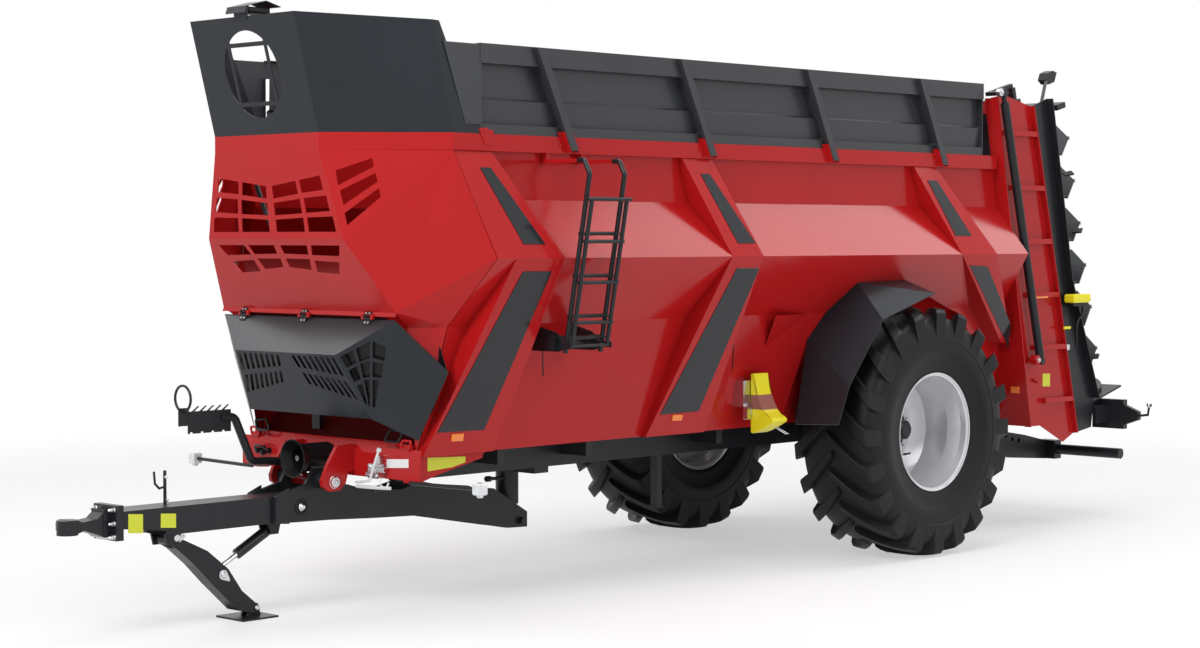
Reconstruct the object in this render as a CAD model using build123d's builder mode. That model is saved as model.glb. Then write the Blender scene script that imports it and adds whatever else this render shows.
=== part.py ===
"""Towed manure spreader with two upright beaters.

Axes: +X forward to the drawbar eye, +Y to the machine's left, +Z up. Lengths are millimetres.
While modelling, x = 0 is the wheel axle and body heights are taken from the plane AXLE_Z below
it; the last step slides the whole machine so that the origin lies on the ground, under the middle
of its overall box.
"""
from build123d import *
import math
import os

# ------------------------------------------------------------------ driving sizes
TYRE_R = 910            # tread radius, and so how high the axle stands over the ground
AXLE_Z = 910            # height of the axle over the plane that body heights are taken from
TYRE_W = 660            # section width of a tyre
TYRE_ROOM = 69          # gap between a tyre and the hopper's inner wall
TYRE_GAP = 102          # gap between the tread and the lowest edge of its arch
RIM_R = 432             # outer radius of the rim flange
RIM_HALF = 284          # half the distance between the rim flanges
BEAD_R = 417            # seat of the tyre bead
SPINDLE_R = 45          # wheel spindle
FIT = 0.3               # gap between pieces that only lie against each other
SHAFT_GAP = 0.05        # radial play of a shaft in its bore

SHEET = 6               # body sheet
FLOOR_Z = 1100          # underside of the hopper floor
SILL_Z = 988            # lower edge of the side
LOW_Z, LOW_Y = 1785, 950        # lower crease of the side
RIDGE_Z, RIDGE_Y = 2198, 1250   # widest line of the side
WAIST_Z, WALL_Y = 2557, 1000    # upper crease, upright wall above it
INNER_Y = 740           # inner wall of the hopper beside the wheels
RAIL_Z, RAIL_H = 2852, 103      # top rail, its underside and its height
RAIL_Y = 1056           # outer face of the top rail
RAIL_W = 56             # width of the top rail
FRONT_X = 4994          # front face of the top rail
FRONT_Y = 510           # half width of that front face
CORNER_BACK = 596       # the rail turns to the side this far behind its front face
REAR_X, REAR_LEAN = -1218, 0.19  # rear end line of the side: x at z = 3403, slope dx/dz
REAR_TOP_Z = 3403

F = FRONT_X             # places on the front end are measured from here
CORNER_X = F - CORNER_BACK
BEAM_Z = (575, 740)     # drawbar beam, bottom and top
BEAM_Y = 110            # half width of the drawbar beam
PIVOT = (F - 310, 816)  # drawbar pivot, x and z
PIN_R = 38
SPRING = (F - 2044, 414)        # lower pin of the drawbar's spring cylinder
GROUND = AXLE_Z - TYRE_R
JACK_PIVOT = (F + 759, 535)
JACK_PIN = (F + 419, 299)       # where the cylinder's rod holds the leg
JACK_FOOT = (F + 132, GROUND + 62)
JACK_TOP = (F - 15, 530)        # upper eye of the jack cylinder
JACK_BARREL = 34
JACK_ROD = 17
JACK_PIN_R = 10
EYE_ROOM = 15           # the rod's eye may wander this far off its pin

LEAN = 14.5             # degrees that the gate and beaters lean back
BEATER_FOOT = (-2810, 1030)     # middle of a beater's lower disc, x and z
BEATER_R = 495          # knife tips
BEATER_MID = 27         # knife tips to the machine's middle plane
BEATER_SIDE = 35        # knife tips to the side plates
BRIDGE_ROOM = 62        # top end of a beater to the level of the frame's head
FLIGHT_R = 450
CORE_R = 120
TURNS, STEPS = 3, 10    # helix turns and flat segments in each turn
GATE_GAP = 45           # knife tips to the gate
GATE_T = 50
GATE_LIFT = 1300
PLATE = 8               # thickness of the rear side plates
LADDER_X = (F - 1709, F - 1397)         # middle lines of the ladder's rails
LAD_ARM = 1318          # how far out the arms reach that hold the ladder's head

BEATER_Y = BEATER_R + BEATER_MID
FRAME_Y = BEATER_Y + BEATER_R + BEATER_SIDE + PLATE     # outer face of the rear side plates
WHEEL_Y = INNER_Y + TYRE_ROOM + TYRE_W / 2
SILL_Y = INNER_Y + 40
HEAD_S = (REAR_TOP_Z - BEATER_FOOT[1]) / math.cos(math.radians(LEAN))
BEATER_L = HEAD_S - BRIDGE_ROOM
GATE_L = HEAD_S - 111
LU = Vector(math.sin(math.radians(LEAN)), 0, math.cos(math.radians(LEAN)))    # up the lean
LB = Vector(-math.cos(math.radians(LEAN)), 0, math.sin(math.radians(LEAN)))   # rearward from it

made = {}


def save(name, part):
    """Keep a finished piece under its label."""
    part.label = name
    made[name] = part


def block(x, y, z, mode=Mode.ADD):
    """A box between two x, two y and two z values."""
    with Locations(((x[0] + x[1]) / 2, (y[0] + y[1]) / 2, (z[0] + z[1]) / 2)):
        Box(x[1] - x[0], y[1] - y[0], z[1] - z[0], mode=mode)


def bar(a, b, r, mode=Mode.ADD):
    """A round bar from point a to point b."""
    a, b = Vector(*a), Vector(*b)
    with BuildSketch(Plane(a, z_dir=b - a)) as disc:
        Circle(r)
    extrude(disc.sketch, amount=(b - a).length, mode=mode)


def beam(a, b, w, h, side=(0, 1, 0), mode=Mode.ADD):
    """A rectangular bar from a to b; w is its width along side, h the other way."""
    a, b = Vector(*a), Vector(*b)
    with BuildSketch(Plane(a, x_dir=side, z_dir=b - a)) as end:
        Rectangle(w, h)
    extrude(end.sketch, amount=(b - a).length, mode=mode)


def pipe(points, bend, r):
    """A bent round tube through points, with this bend radius on its centre line."""
    with BuildLine() as path:
        FilletPolyline(*points, radius=bend)
    with BuildSketch(Plane(points[0], z_dir=Vector(*points[1]) - Vector(*points[0]))) as end:
        Circle(r)
    sweep(end.sketch, path=path.line)


def side_plate(points, y, mode=Mode.ADD):
    """A plate cut to an outline in x and z, between two y values."""
    with BuildSketch(Plane.XZ.offset(-y[1])) as outline:
        with BuildLine():
            Polyline(*points, close=True)
        make_face()
    extrude(outline.sketch, amount=y[1] - y[0], mode=mode)


def section(points, x, mode=Mode.ADD):
    """A bar with a cross-section in y and z, between two x values."""
    with BuildSketch(Plane.YZ.offset(x[0])) as outline:
        with BuildLine():
            Polyline(*points, close=True)
        make_face()
    extrude(outline.sketch, amount=x[1] - x[0], mode=mode)


def facet(points, push, mode=Mode.ADD):
    """A flat sheet with these corners, thickened by the vector push."""
    push = Vector(*push)
    face = Face(Wire.make_polygon([Vector(*p) for p in points], close=True))
    extrude(face, amount=push.length, dir=push, mode=mode)


def sheet(points, t):
    """The outline of a folded sheet: the folds' points in order, and the same line moved over by t."""
    back = []
    last = len(points) - 1
    for i, (u, v) in enumerate(points):
        near = [points[max(i - 1, 0)], points[i], points[min(i + 1, last)]]
        norms = []
        for (a, b), (c, d) in ((near[0], near[1]), (near[1], near[2])):
            n = math.dist((a, b), (c, d))
            if n > 0:
                norms.append(((b - d) / n, (c - a) / n))
        k = 1 + norms[0][0] * norms[-1][0] + norms[0][1] * norms[-1][1]
        back.append((u + t * (norms[0][0] + norms[-1][0]) / k, v + t * (norms[0][1] + norms[-1][1]) / k))
    return list(points) + back[::-1]


def mirrored(part):
    """The same piece on the machine's right."""
    return mirror(part, about=Plane.XZ, mode=Mode.PRIVATE)


def leant(r, y, s):
    """A point in the beaters' leaning frame: r rearward, y left, s up from the lower disc."""
    return Vector(BEATER_FOOT[0], y, BEATER_FOOT[1]) + LB * r + LU * s


def rear_line(z):
    return REAR_X + (z - REAR_TOP_Z) * REAR_LEAN


# ------------------------------------------------------------------ wheels
half = TYRE_W / 2
# across and radius; the beads sit on the rim and the walls reach out to the tread
tyre_outer = [(-RIM_HALF + 22, BEAD_R + FIT), (-RIM_HALF + 18, RIM_R + 3), (-RIM_HALF - 18, RIM_R + 42),
              (-half, RIM_R + 188), (-half + 4, TYRE_R - 150), (-half + 14, TYRE_R - 38),
              (-half / 2, TYRE_R - 6), (-half / 4, TYRE_R)]
tyre_inner = [(-RIM_HALF + 46, BEAD_R + FIT), (-RIM_HALF + 22, RIM_R + 48), (-half + 26, RIM_R + 188),
              (-half + 32, TYRE_R - 150), (-half + 60, TYRE_R - 78), (-half / 3, TYRE_R - 52)]
wheel_plane = Plane(origin=(0, WHEEL_Y, AXLE_Z), x_dir=(0, 1, 0), z_dir=(1, 0, 0))
wheel_axis = Axis((0, WHEEL_Y, AXLE_Z), (0, 1, 0))


def turned(points):
    """Revolve an outline of (across, radius) pairs about the left wheel's axis."""
    with BuildSketch(wheel_plane) as outline:
        with BuildLine():
            Polyline(*points, close=True)
        make_face()
    revolve(outline.sketch, axis=wheel_axis)


with BuildPart() as tyre:
    turned(tyre_outer + [(-u, v) for u, v in reversed(tyre_outer)]
           + [(-u, v) for u, v in tyre_inner] + list(reversed(tyre_inner)))
save("tyre_left", tyre.part)
save("tyre_right", mirrored(tyre.part))

DISC_U = -118           # outer face of the wheel disc
DISC_T = 14
with BuildPart() as rim:
    outer = [(-RIM_HALF, RIM_R), (-RIM_HALF + 10, RIM_R), (-RIM_HALF + 16, BEAD_R), (-RIM_HALF + 64, BEAD_R),
             (-RIM_HALF + 104, BEAD_R - 28), (RIM_HALF - 164, BEAD_R - 28), (RIM_HALF - 64, BEAD_R),
             (RIM_HALF - 16, BEAD_R),
             (RIM_HALF - 10, RIM_R), (RIM_HALF, RIM_R)]
    inner = [(u * 0.994, v - 9) for u, v in reversed(outer)]
    turned(outer + inner)
    turned([(DISC_U + 40, BEAD_R - 34), (DISC_U, 240), (DISC_U, 100), (DISC_U - DISC_T, 100),
            (DISC_U - DISC_T, 244), (DISC_U + 40 - DISC_T, BEAD_R - 34)])
save("rim_left", rim.part)
save("rim_right", mirrored(rim.part))

HUB_END = 30
with BuildPart() as hub:
    turned([(DISC_U + FIT, SPINDLE_R + SHAFT_GAP), (DISC_U + FIT, 150), (DISC_U + 22, 150), (DISC_U + 30, 78),
            (HUB_END - 30, 70), (HUB_END, 52), (HUB_END, 0), (HUB_END - 12, 0),
            (HUB_END - 12, SPINDLE_R + SHAFT_GAP)])
    turned([(DISC_U + FIT, SPINDLE_R + SHAFT_GAP), (DISC_U + FIT, 96), (DISC_U - 95, 96),
            (DISC_U - 95, SPINDLE_R + SHAFT_GAP)])
save("hub_left", hub.part)
save("hub_right", mirrored(hub.part))

AXLE_H = 140
AXLE_END = WHEEL_Y + DISC_U - 95 - 12
with BuildPart() as axle:
    block((-AXLE_H / 2, AXLE_H / 2), (-AXLE_END, AXLE_END), (AXLE_Z - AXLE_H / 2, AXLE_Z + AXLE_H / 2))
    bar((0, -WHEEL_Y - HUB_END + 14, AXLE_Z), (0, WHEEL_Y + HUB_END - 14, AXLE_Z), SPINDLE_R)
save("axle", axle.part)

# ------------------------------------------------------------------ chassis
CH_Y = (440, 520)
CH_Z = (815, 980)
CH_REAR = -2080
with BuildPart() as chassis:
    for side in (-1, 1):
        y = tuple(sorted((side * CH_Y[0], side * CH_Y[1])))
        block((AXLE_H / 2 + FIT, F - 604), y, CH_Z)
        block((CH_REAR, -AXLE_H / 2 - FIT), y, CH_Z)
    for x in (F - 1034, F - 2134, F - 3094, F - 4094):
        block((x, x + 70), (-CH_Y[0], CH_Y[0]), (CH_Z[0] + 20, CH_Z[1] - 40))
    for x in (-600, -1500, CH_REAR):
        block((x, x + 70), (-CH_Y[0], CH_Y[0]), (CH_Z[0] + 20, CH_Z[1] - 40))
    # strut that hangs from the left rail ahead of the axle
    block((1950, 2000), (CH_Y[0] + 10, CH_Y[1] - 10), (450, CH_Z[0] + 1))
    block((1940, 2010), (CH_Y[0] + 5, CH_Y[1] - 5), (450, 462))
    for side in (-1, 1):
        for x in (F - 1294, F - 2094, F - 3394):
            y = tuple(sorted((side * CH_Y[1], side * (INNER_Y + 20))))
            block((x, x + 60), y, (CH_Z[1] - 90, SILL_Z - FIT))
        y = tuple(sorted((side * CH_Y[1], side * (INNER_Y - 4))))
        block((-1560, -1500), y, (CH_Z[1] - 90, SILL_Z - FIT))
        # saddle plates that tie the rails to the axle
        for x in ((-230, -AXLE_H / 2 - FIT), (AXLE_H / 2 + FIT, 230)):
            y = tuple(sorted((side * (CH_Y[1]), side * (CH_Y[1] + 12))))
            block(x, y, (CH_Z[0] - 30, CH_Z[1]))
save("chassis", chassis.part)

# cross-piece and block that carry the drawbar's spring cylinder
with BuildPart() as drop:
    block((SPRING[0] + 120, SPRING[0] + 250), (-CH_Y[0] + FIT, CH_Y[0] - FIT), (CH_Z[0] - 40, CH_Z[0] + 20 - FIT))
    for side in (-1, 1):
        block((SPRING[0] + 120, SPRING[0] + 250), tuple(sorted((side * (CH_Y[0] - 30), side * CH_Y[1]))),
              (CH_Z[0] - 40, CH_Z[0] - FIT))
    block((SPRING[0] - 100, SPRING[0] + 121), (-90, 90), (CH_Z[0] - 40, CH_Z[0] + 20 - FIT))
save("spring_bracket", drop.part)

# ------------------------------------------------------------------ hopper sides
ARCH_K = (TYRE_R + TYRE_GAP) / 1012     # the arch grows with the tyre, about the axle
ARCH = [(x * ARCH_K, AXLE_Z + h * ARCH_K) for x, h in (
    (1060, -10), (1010, 80), (835, 673), (505, 1080), (-50, 1090), (-1037, 809), (-1418, 266), (-1319, 50),
    (-1300, -10))]
side_out = [(WALL_Y, RAIL_Z), (WALL_Y, WAIST_Z), (RIDGE_Y, RIDGE_Z), (LOW_Y, LOW_Z), (SILL_Y, SILL_Z),
            (INNER_Y, SILL_Z), (INNER_Y, 1900), (WALL_Y - SHEET, 2440), (WALL_Y - SHEET, RAIL_Z)]
side_void = [(WALL_Y - SHEET + 1, WAIST_Z - 30), (RIDGE_Y - 11, RIDGE_Z), (LOW_Y - 5, LOW_Z + 2),
             (SILL_Y - SHEET, SILL_Z + SHEET), (INNER_Y + SHEET, SILL_Z + SHEET), (INNER_Y + SHEET, 1896)]
# columns: rib, z, front x, rear x; each rib is one band above the ridge and one below it
MID = 2340 + (F - 4994) * 0.55          # the middle rib keeps its share of the length
RIBS = {
    1: [(RAIL_Z, F - 604, F - 912), (RIDGE_Z, F - 777, F - 1354), (RIDGE_Z, F - 934, F - 1354),
        (SILL_Z, F - 544, F - 1134)],
    2: [(RAIL_Z, MID, MID - 296), (RIDGE_Z, MID - 281, MID - 602), (RIDGE_Z, MID - 281, MID - 602),
        (SILL_Z, MID + 120, MID - 470)],
    3: [(RAIL_Z, -235, -507), (RIDGE_Z, -570, -1026), (RIDGE_Z, -570, -1026), (1500, -1440, -1574)],
}
RIB_TOP_Y, RIB_SILL_Y = 1045, 830
rib_upper = [(WALL_Y - 1, RAIL_Z), (RIB_TOP_Y, RAIL_Z), (RIDGE_Y, RIDGE_Z), (WALL_Y - 1, WAIST_Z)]
rib_lower = [(RIDGE_Y, RIDGE_Z), (RIB_SILL_Y, SILL_Z), (SILL_Y - 1, SILL_Z), (LOW_Y - 1, LOW_Z)]


def band(outline, a, b):
    """The part of a rib between two heights, cut square to the side."""
    (za, fa, ra), (zb, fb, rb) = a, b
    with BuildPart(mode=Mode.PRIVATE) as piece:
        section(outline, (-2500, F + 500))
        side_plate([(fa, za), (ra, za), (rb, zb), (fb, zb)], (0, 2000), mode=Mode.INTERSECT)
    return piece.part


with BuildPart() as hopper_side:
    section(side_out, (-2000, F - 394))
    section(side_void, (-2000, F - 394), mode=Mode.SUBTRACT)
    k = 8
    side_plate([(CORNER_X - k, RAIL_Z), (F - 769 - k, RIDGE_Z), (F - 637 - k, LOW_Z), (F - 542, SILL_Z),
                (rear_line(SILL_Z), SILL_Z), (rear_line(RAIL_Z), RAIL_Z)], (0, 2000), mode=Mode.INTERSECT)
    for rows in RIBS.values():
        add(band(rib_upper, rows[0], rows[1]))
        add(band(rib_lower, rows[2], rows[3]))
    side_plate(ARCH, (INNER_Y + SHEET, 1400), mode=Mode.SUBTRACT)
save("hopper_side_left", hopper_side.part)
save("hopper_side_right", mirrored(hopper_side.part))

# ------------------------------------------------------------------ floor and apron
FLOOR_X = (-2010, F - 744)
with BuildPart() as floor:
    block(FLOOR_X, (-INNER_Y + FIT, INNER_Y - FIT), (FLOOR_Z, FLOOR_Z + SHEET))
    for side in (-1, 1):
        for x in (F - 1094, F - 2294, F - 3494, 300, -900):
            y = tuple(sorted((side * CH_Y[0], side * CH_Y[1])))
            block((x, x + 60), y, (CH_Z[1] + FIT, FLOOR_Z))
save("hopper_floor", floor.part)

CHAIN_Y = (230, 620)
APRON_TOP = FLOOR_Z + SHEET + FIT
APRON_LOW = 1015
with BuildPart() as apron:
    for y in (-CHAIN_Y[1], -CHAIN_Y[0], CHAIN_Y[0], CHAIN_Y[1]):
        block((FLOOR_X[0], FLOOR_X[1] + 30), (y - 12, y + 12), (APRON_TOP, APRON_TOP + 20))
        block((FLOOR_X[0], FLOOR_X[1] + 30), (y - 12, y + 12), (APRON_LOW, APRON_LOW + 20))
        for x in (FLOOR_X[0] - 22, FLOOR_X[1] + 8):
            block((x, x + 22), (y - 12, y + 12), (APRON_LOW, APRON_TOP + 20))
    n = 14
    for i in range(n):
        x = FLOOR_X[0] + 120 + i * (FLOOR_X[1] - FLOOR_X[0] - 260) / (n - 1)
        block((x, x + 50), (-CHAIN_Y[1] - 70, CHAIN_Y[1] + 70), (APRON_TOP + 4, APRON_TOP + 26))
save("apron", apron.part)

# ------------------------------------------------------------------ front of the hopper
# columns: x, y, z of the left corner points of the front shroud
V1 = (F, FRONT_Y, RAIL_Z)
V2 = (CORNER_X, 1050, RAIL_Z)
V3 = (F - 62, 663, 2316)
V4 = (F - 315, 850, 1873)
V5 = (F - 769, RIDGE_Y, RIDGE_Z)
V6 = (F - 637, LOW_Y, LOW_Z)
V7 = (F - 434, 814, 1776)
V8 = (F - 534, SILL_Y - 4, SILL_Z)
LIP_Z = 1848
HINGE = (F - 300, 1834)         # axis of the front cover, x and z
HINGES = (-615, -5, 605)        # where its three hinges sit across the machine
KNUCKLE, KN_HALF = 9, 30
# see-through windows of the shroud: left corners in y and z, upper face then lower face
UPPER = [[(28, 2640), (262, 2668), (278, 2590), (32, 2563)], [(300, 2672), (500, 2697), (520, 2610), (310, 2594)],
         [(30, 2536), (290, 2560), (300, 2471), (33, 2461)], [(325, 2563), (540, 2576), (565, 2484), (335, 2473)],
         [(34, 2434), (305, 2445), (310, 2359), (34, 2359)], [(340, 2446), (585, 2451), (605, 2359), (345, 2359)]]
LOWER = [[(30, 2277), (290, 2277), (268, 2220), (33, 2225)], [(330, 2277), (600, 2277), (556, 2212), (300, 2218)],
         [(24, 2194), (261, 2193), (230, 2126), (30, 2142)], [(298, 2184), (530, 2175), (482, 2103), (280, 2112)]]
# windows of the corner facet: x behind the rail's front, y, z
CORNER = [[(65, 592, 2726), (234, 731, 2801), (236, 743, 2749), (68, 611, 2636)],
          [(73, 621, 2606), (240, 753, 2711), (245, 767, 2659), (82, 644, 2519)],
          [(82, 653, 2471), (247, 776, 2621), (250, 788, 2567), (88, 671, 2398)]]


def other(p):
    return (p[0], -p[1], p[2])


with BuildPart() as shroud:
    facet([V1, other(V1), other(V3), V3], (-SHEET, 0, 0))
    facet([V3, other(V3), other(V4), V4], (-SHEET, 0, 0))
    facet([V4, other(V4), (V4[0] + 12, -V4[1], LIP_Z), (V4[0] + 12, V4[1], LIP_Z)], (-SHEET, 0, 0))
    for flip in (1, -1):
        for corners in ((V1, V2, V3), (V2, V4, V3), (V2, V5, V4), (V4, V5, V6), (V4, V6, V7), (V7, V6, V8)):
            facet([(x, flip * y, z) for x, y, z in corners], (-SHEET, -SHEET * flip, 0))
        for windows, x in ((UPPER, (F - 100, F + 20)), (LOWER, (F - 210, F - 55))):
            for window in windows:
                section([(flip * y, z) for y, z in window], x, mode=Mode.SUBTRACT)
        for window in CORNER:
            corners = [(F - back + 30, flip * (y + 30), z) for back, y, z in window]
            for half in (corners[:3], [corners[0], corners[2], corners[3]]):
                facet(half, (-60, -60 * flip, 0), mode=Mode.SUBTRACT)
    for y in HINGES:
        block((V4[0] - 1, HINGE[0] + 8), (y - 55, y + 55), (HINGE[1] + KNUCKLE + 2, HINGE[1] + 26))
        for a, b in ((y - 55, y - KN_HALF - 1), (y + KN_HALF + 1, y + 55)):
            bar((HINGE[0], a, HINGE[1]), (HINGE[0], b, HINGE[1]), KNUCKLE)
            block((HINGE[0] - 5, HINGE[0] + 5), (a, b), (HINGE[1], HINGE[1] + KNUCKLE + 3))
        bar((HINGE[0], y - 55, HINGE[1]), (HINGE[0], y + 55, HINGE[1]), 4)
save("front_shroud", shroud.part)

with BuildPart() as front_wall:
    top_x = V4[0] - SHEET - FIT
    side_plate([(F - 732, FLOOR_Z + 40), (F - 732 + SHEET, FLOOR_Z + 40), (top_x, V4[2] - 11),
                (top_x - SHEET, V4[2] - 11)], (-INNER_Y + FIT, INNER_Y - FIT))
save("hopper_front_wall", front_wall.part)

RAIL_REAR = rear_line(RAIL_Z + RAIL_H) + 2 * FIT
POST_HALF = 32                          # half width of a slanted post
POST_LEAN = 0.48
BOARD_X = (-1110, F - 814)              # the side boards run between these
POST_STEP = (BOARD_X[1] - 740 - BOARD_X[0] - 580) / 3
POSTS = [(BOARD_X[0] + 580 + i * POST_STEP, 3500) for i in range(4)]    # x at the rail's top, z of the post's top


def post_x(foot, z):
    return foot + (z - RAIL_Z - RAIL_H) * POST_LEAN


with BuildPart() as top_rail:
    with BuildSketch(Plane.XY.offset(RAIL_Z + FIT)):
        with BuildLine():
            Polyline((RAIL_REAR, RAIL_Y), (CORNER_X, RAIL_Y), (FRONT_X, FRONT_Y), (FRONT_X, -FRONT_Y),
                     (CORNER_X, -RAIL_Y), (RAIL_REAR, -RAIL_Y), close=True)
        make_face()
        with BuildLine():
            k = RAIL_W
            Polyline((-3000, RAIL_Y - k), (CORNER_X - 24, RAIL_Y - k), (FRONT_X - k, FRONT_Y - 22),
                     (FRONT_X - k, -FRONT_Y + 22), (CORNER_X - 24, -RAIL_Y + k), (-3000, -RAIL_Y + k), close=True)
        make_face(mode=Mode.SUBTRACT)
    extrude(amount=RAIL_H)
    # sockets that hold the posts of the side boards, and a plain lug in front of them
    for flip in (1, -1):
        for foot, top in POSTS:
            low, high = post_x(foot, RAIL_Z + 8), post_x(foot, RAIL_Z + RAIL_H + 30)
            for a, b, y in ((-62, 62, 6), (-POST_HALF - 8, -POST_HALF - 2, 38), (POST_HALF + 2, POST_HALF + 8, 38)):
                side_plate([(low + a, RAIL_Z + 8), (low + b, RAIL_Z + 8), (high + b, RAIL_Z + RAIL_H + 30),
                            (high + a, RAIL_Z + RAIL_H + 30)],
                           tuple(sorted((flip * (RAIL_Y - 1), flip * (RAIL_Y + y)))))
        side_plate([(F - 937, RAIL_Z + 36), (F - 852, RAIL_Z + 36), (F - 799, RAIL_Z + RAIL_H + 32),
                    (F - 871, RAIL_Z + RAIL_H + 38)], tuple(sorted((flip * (RAIL_Y - 1), flip * (RAIL_Y + 6)))))
    # arms under the rail that hold the ladder's head
    for x in LADDER_X:
        section([(RAIL_Y - 44, RAIL_Z + 1), (RAIL_Y - 44, RAIL_Z - 62), (LAD_ARM, RAIL_Z - 62), (LAD_ARM, RAIL_Z - 40),
                 (RAIL_Y - 6, RAIL_Z - 40), (RAIL_Y - 6, RAIL_Z + 1)], (x - 15, x + 15))
save("top_rail", top_rail.part)

# ------------------------------------------------------------------ extensions above the rail
EXT_Z = RAIL_Z + RAIL_H + 2 * FIT
E1 = (F, FRONT_Y, EXT_Z)
E2 = (CORNER_X, RAIL_Y, EXT_Z)
E3 = (CORNER_X - 208, RAIL_Y, EXT_Z)
T1 = (F + 185, FRONT_Y, 3664)
T2 = (CORNER_X + 157, 1046, 3621)
T3 = (CORNER_X + 107, 1046, 3618)
SIGHT_Z, SIGHT_R, SIGHT_BAR = 3318, 262, 26     # round sight window with crossing bars
with BuildPart() as front_ext:
    facet([E1, other(E1), other(T1), T1], (-SHEET, 0, 0))
    for flip in (1, -1):
        for corners in ((E1, E2, T1), (E2, T2, T1), (E2, E3, T3), (E2, T3, T2)):
            facet([(x, flip * y, z) for x, y, z in corners], (-SHEET, -SHEET * flip, 0))
    with BuildSketch(Plane.YZ.offset(F - 60)) as sight:
        with Locations((0, SIGHT_Z)):
            Circle(SIGHT_R)
            for k in (-0.34, 0.34):
                with Locations((k * SIGHT_R * 2, 0)):
                    Rectangle(SIGHT_BAR, 3 * SIGHT_R, mode=Mode.SUBTRACT)
                with Locations((0, k * SIGHT_R * 2)):
                    Rectangle(3 * SIGHT_R, SIGHT_BAR, mode=Mode.SUBTRACT)
    extrude(sight.sketch, amount=300, mode=Mode.SUBTRACT)
    # folded roof over the front lamp
    side_plate(sheet([(F + 226, 3681), (F + 212, 3722), (F + 60, 3762), (F - 52, 3732)], 4), (-95, 95))
    side_plate([(F + 178, 3640), (F + 184, 3640), (F + 196, 3725), (F + 166, 3732)], (-60, 60))
save("front_extension", front_ext.part)

# folds of a side board in y and z: channel on the rail, lower and upper panel, band along the top
board = [(RAIL_Y - 6, EXT_Z), (RAIL_Y - 6, 3015), (RAIL_Y - 38, 3019), (RAIL_Y - 24, 3164), (RAIL_Y - 52, 3178),
         (RAIL_Y - 56, 3380), (RAIL_Y + 4, 3384), (RAIL_Y + 4, 3504), (RAIL_Y - 44, 3504)]
with BuildPart() as side_ext:
    section(sheet(board, 5), BOARD_X)
    for foot, top in POSTS:
        side_plate([(post_x(foot, 2870) - POST_HALF, 2870), (post_x(foot, 2870) + POST_HALF, 2870),
                    (post_x(foot, top) + POST_HALF, top), (post_x(foot, top) - POST_HALF, top)],
                   (RAIL_Y + 7, RAIL_Y + 42))
        side_plate([(post_x(foot, 3030) - POST_HALF, 3030), (post_x(foot, 3030) + POST_HALF - 20, 3030),
                    (post_x(foot, 3400) + POST_HALF - 20, 3400), (post_x(foot, 3400) - POST_HALF, 3400)],
                   (RAIL_Y - 58, RAIL_Y + 8))
    # end frame
    section([(RAIL_Y - 58, 3010), (RAIL_Y - 4, 3010), (RAIL_Y - 4, 3390), (RAIL_Y - 58, 3390)],
            (BOARD_X[0], BOARD_X[0] + 10))
save("side_extension_left", side_ext.part)
save("side_extension_right", mirrored(side_ext.part))

# ------------------------------------------------------------------ rear frame
frame_outline = [(REAR_X - FIT, REAR_TOP_Z), (-1381, 3431), (-1741, 3358), (-2405, 740), (-2248, 674), (-1917, 824),
                 (rear_line(825) - FIT, 825)]
with BuildPart() as rear_frame:
    side_plate(frame_outline, (FRAME_Y - PLATE, FRAME_Y))
    # six ledges across the plate
    for z in (3137, 2712, 2292, 1867, 1449, 1023):
        xr = -1741 + (z - 3358) * (664 / 2618)
        xf = xr + 400
        block((xr + 2, xf), (FRAME_Y - 1, FRAME_Y + 42), (z - 20, z + 20))
    # front and rear flanges
    facet([(REAR_X - FIT, FRAME_Y - 1, REAR_TOP_Z), (REAR_X - FIT, FRAME_Y + 52, REAR_TOP_Z),
           (rear_line(825) - FIT, FRAME_Y + 52, 825), (rear_line(825) - FIT, FRAME_Y - 1, 825)], (-8, 0, 0))
    # portal sheet between the hopper's own section and the side plate
    facet([(rear_line(z) - FIT, y, z) for y, z in (
        (INNER_Y, 830), (FRAME_Y - 1, 830), (FRAME_Y - 1, REAR_TOP_Z - 4), (WALL_Y - SHEET, REAR_TOP_Z - 4),
        (WALL_Y - SHEET, 2440), (INNER_Y, 1900))], (-8, 0, 0))
    facet([(-1741, FRAME_Y - 1, 3358), (-1741, FRAME_Y + 45, 3358), (-2405, FRAME_Y + 45, 740),
           (-2405, FRAME_Y - 1, 740)], (8, 0, 0))
save("rear_frame_left", rear_frame.part)
save("rear_frame_right", mirrored(rear_frame.part))

with BuildPart() as crossbeam:
    beam((-1330, -FRAME_Y + PLATE + FIT, 3330), (-1330, FRAME_Y - PLATE - FIT, 3330), 90, 90, side=(1, 0, 0))
save("rear_crossbeam", crossbeam.part)

# ------------------------------------------------------------------ tailgate with its lifting cylinders
gate_r = -(BEATER_R + GATE_GAP)
GATE_Y = FRAME_Y - PLATE - 10
gate_base = 262
CYL_Y = FRAME_Y + 75
CYL_R, CYL_BORE, ROD_R = 34, 26, 20
cyl_r = -895
CYL_FOOT, CYL_TOP = 590, gate_base + GATE_L + 38


def slab(r, y, s, mode=Mode.ADD):
    """A box in the leaning frame."""
    middle = leant((r[0] + r[1]) / 2, (y[0] + y[1]) / 2, s[0])
    with BuildSketch(Plane(middle, x_dir=(0, 1, 0), z_dir=LU)) as foot:
        Rectangle(y[1] - y[0], r[1] - r[0])
    extrude(foot.sketch, amount=s[1] - s[0], mode=mode)


with BuildPart() as gate:
    slab((gate_r - 8, gate_r), (-GATE_Y, GATE_Y), (gate_base, gate_base + GATE_L))
    for side in (-1, 1):
        y = tuple(sorted((side * (GATE_Y - 60), side * GATE_Y)))
        slab((gate_r - GATE_T, gate_r - 7), y, (gate_base, gate_base + GATE_L))
    for i in range(6):
        s = gate_base + i * (GATE_L - 50) / 5
        slab((gate_r - GATE_T, gate_r - 7), (-GATE_Y, GATE_Y), (s, s + 50))
save("tailgate", gate.part)


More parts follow.
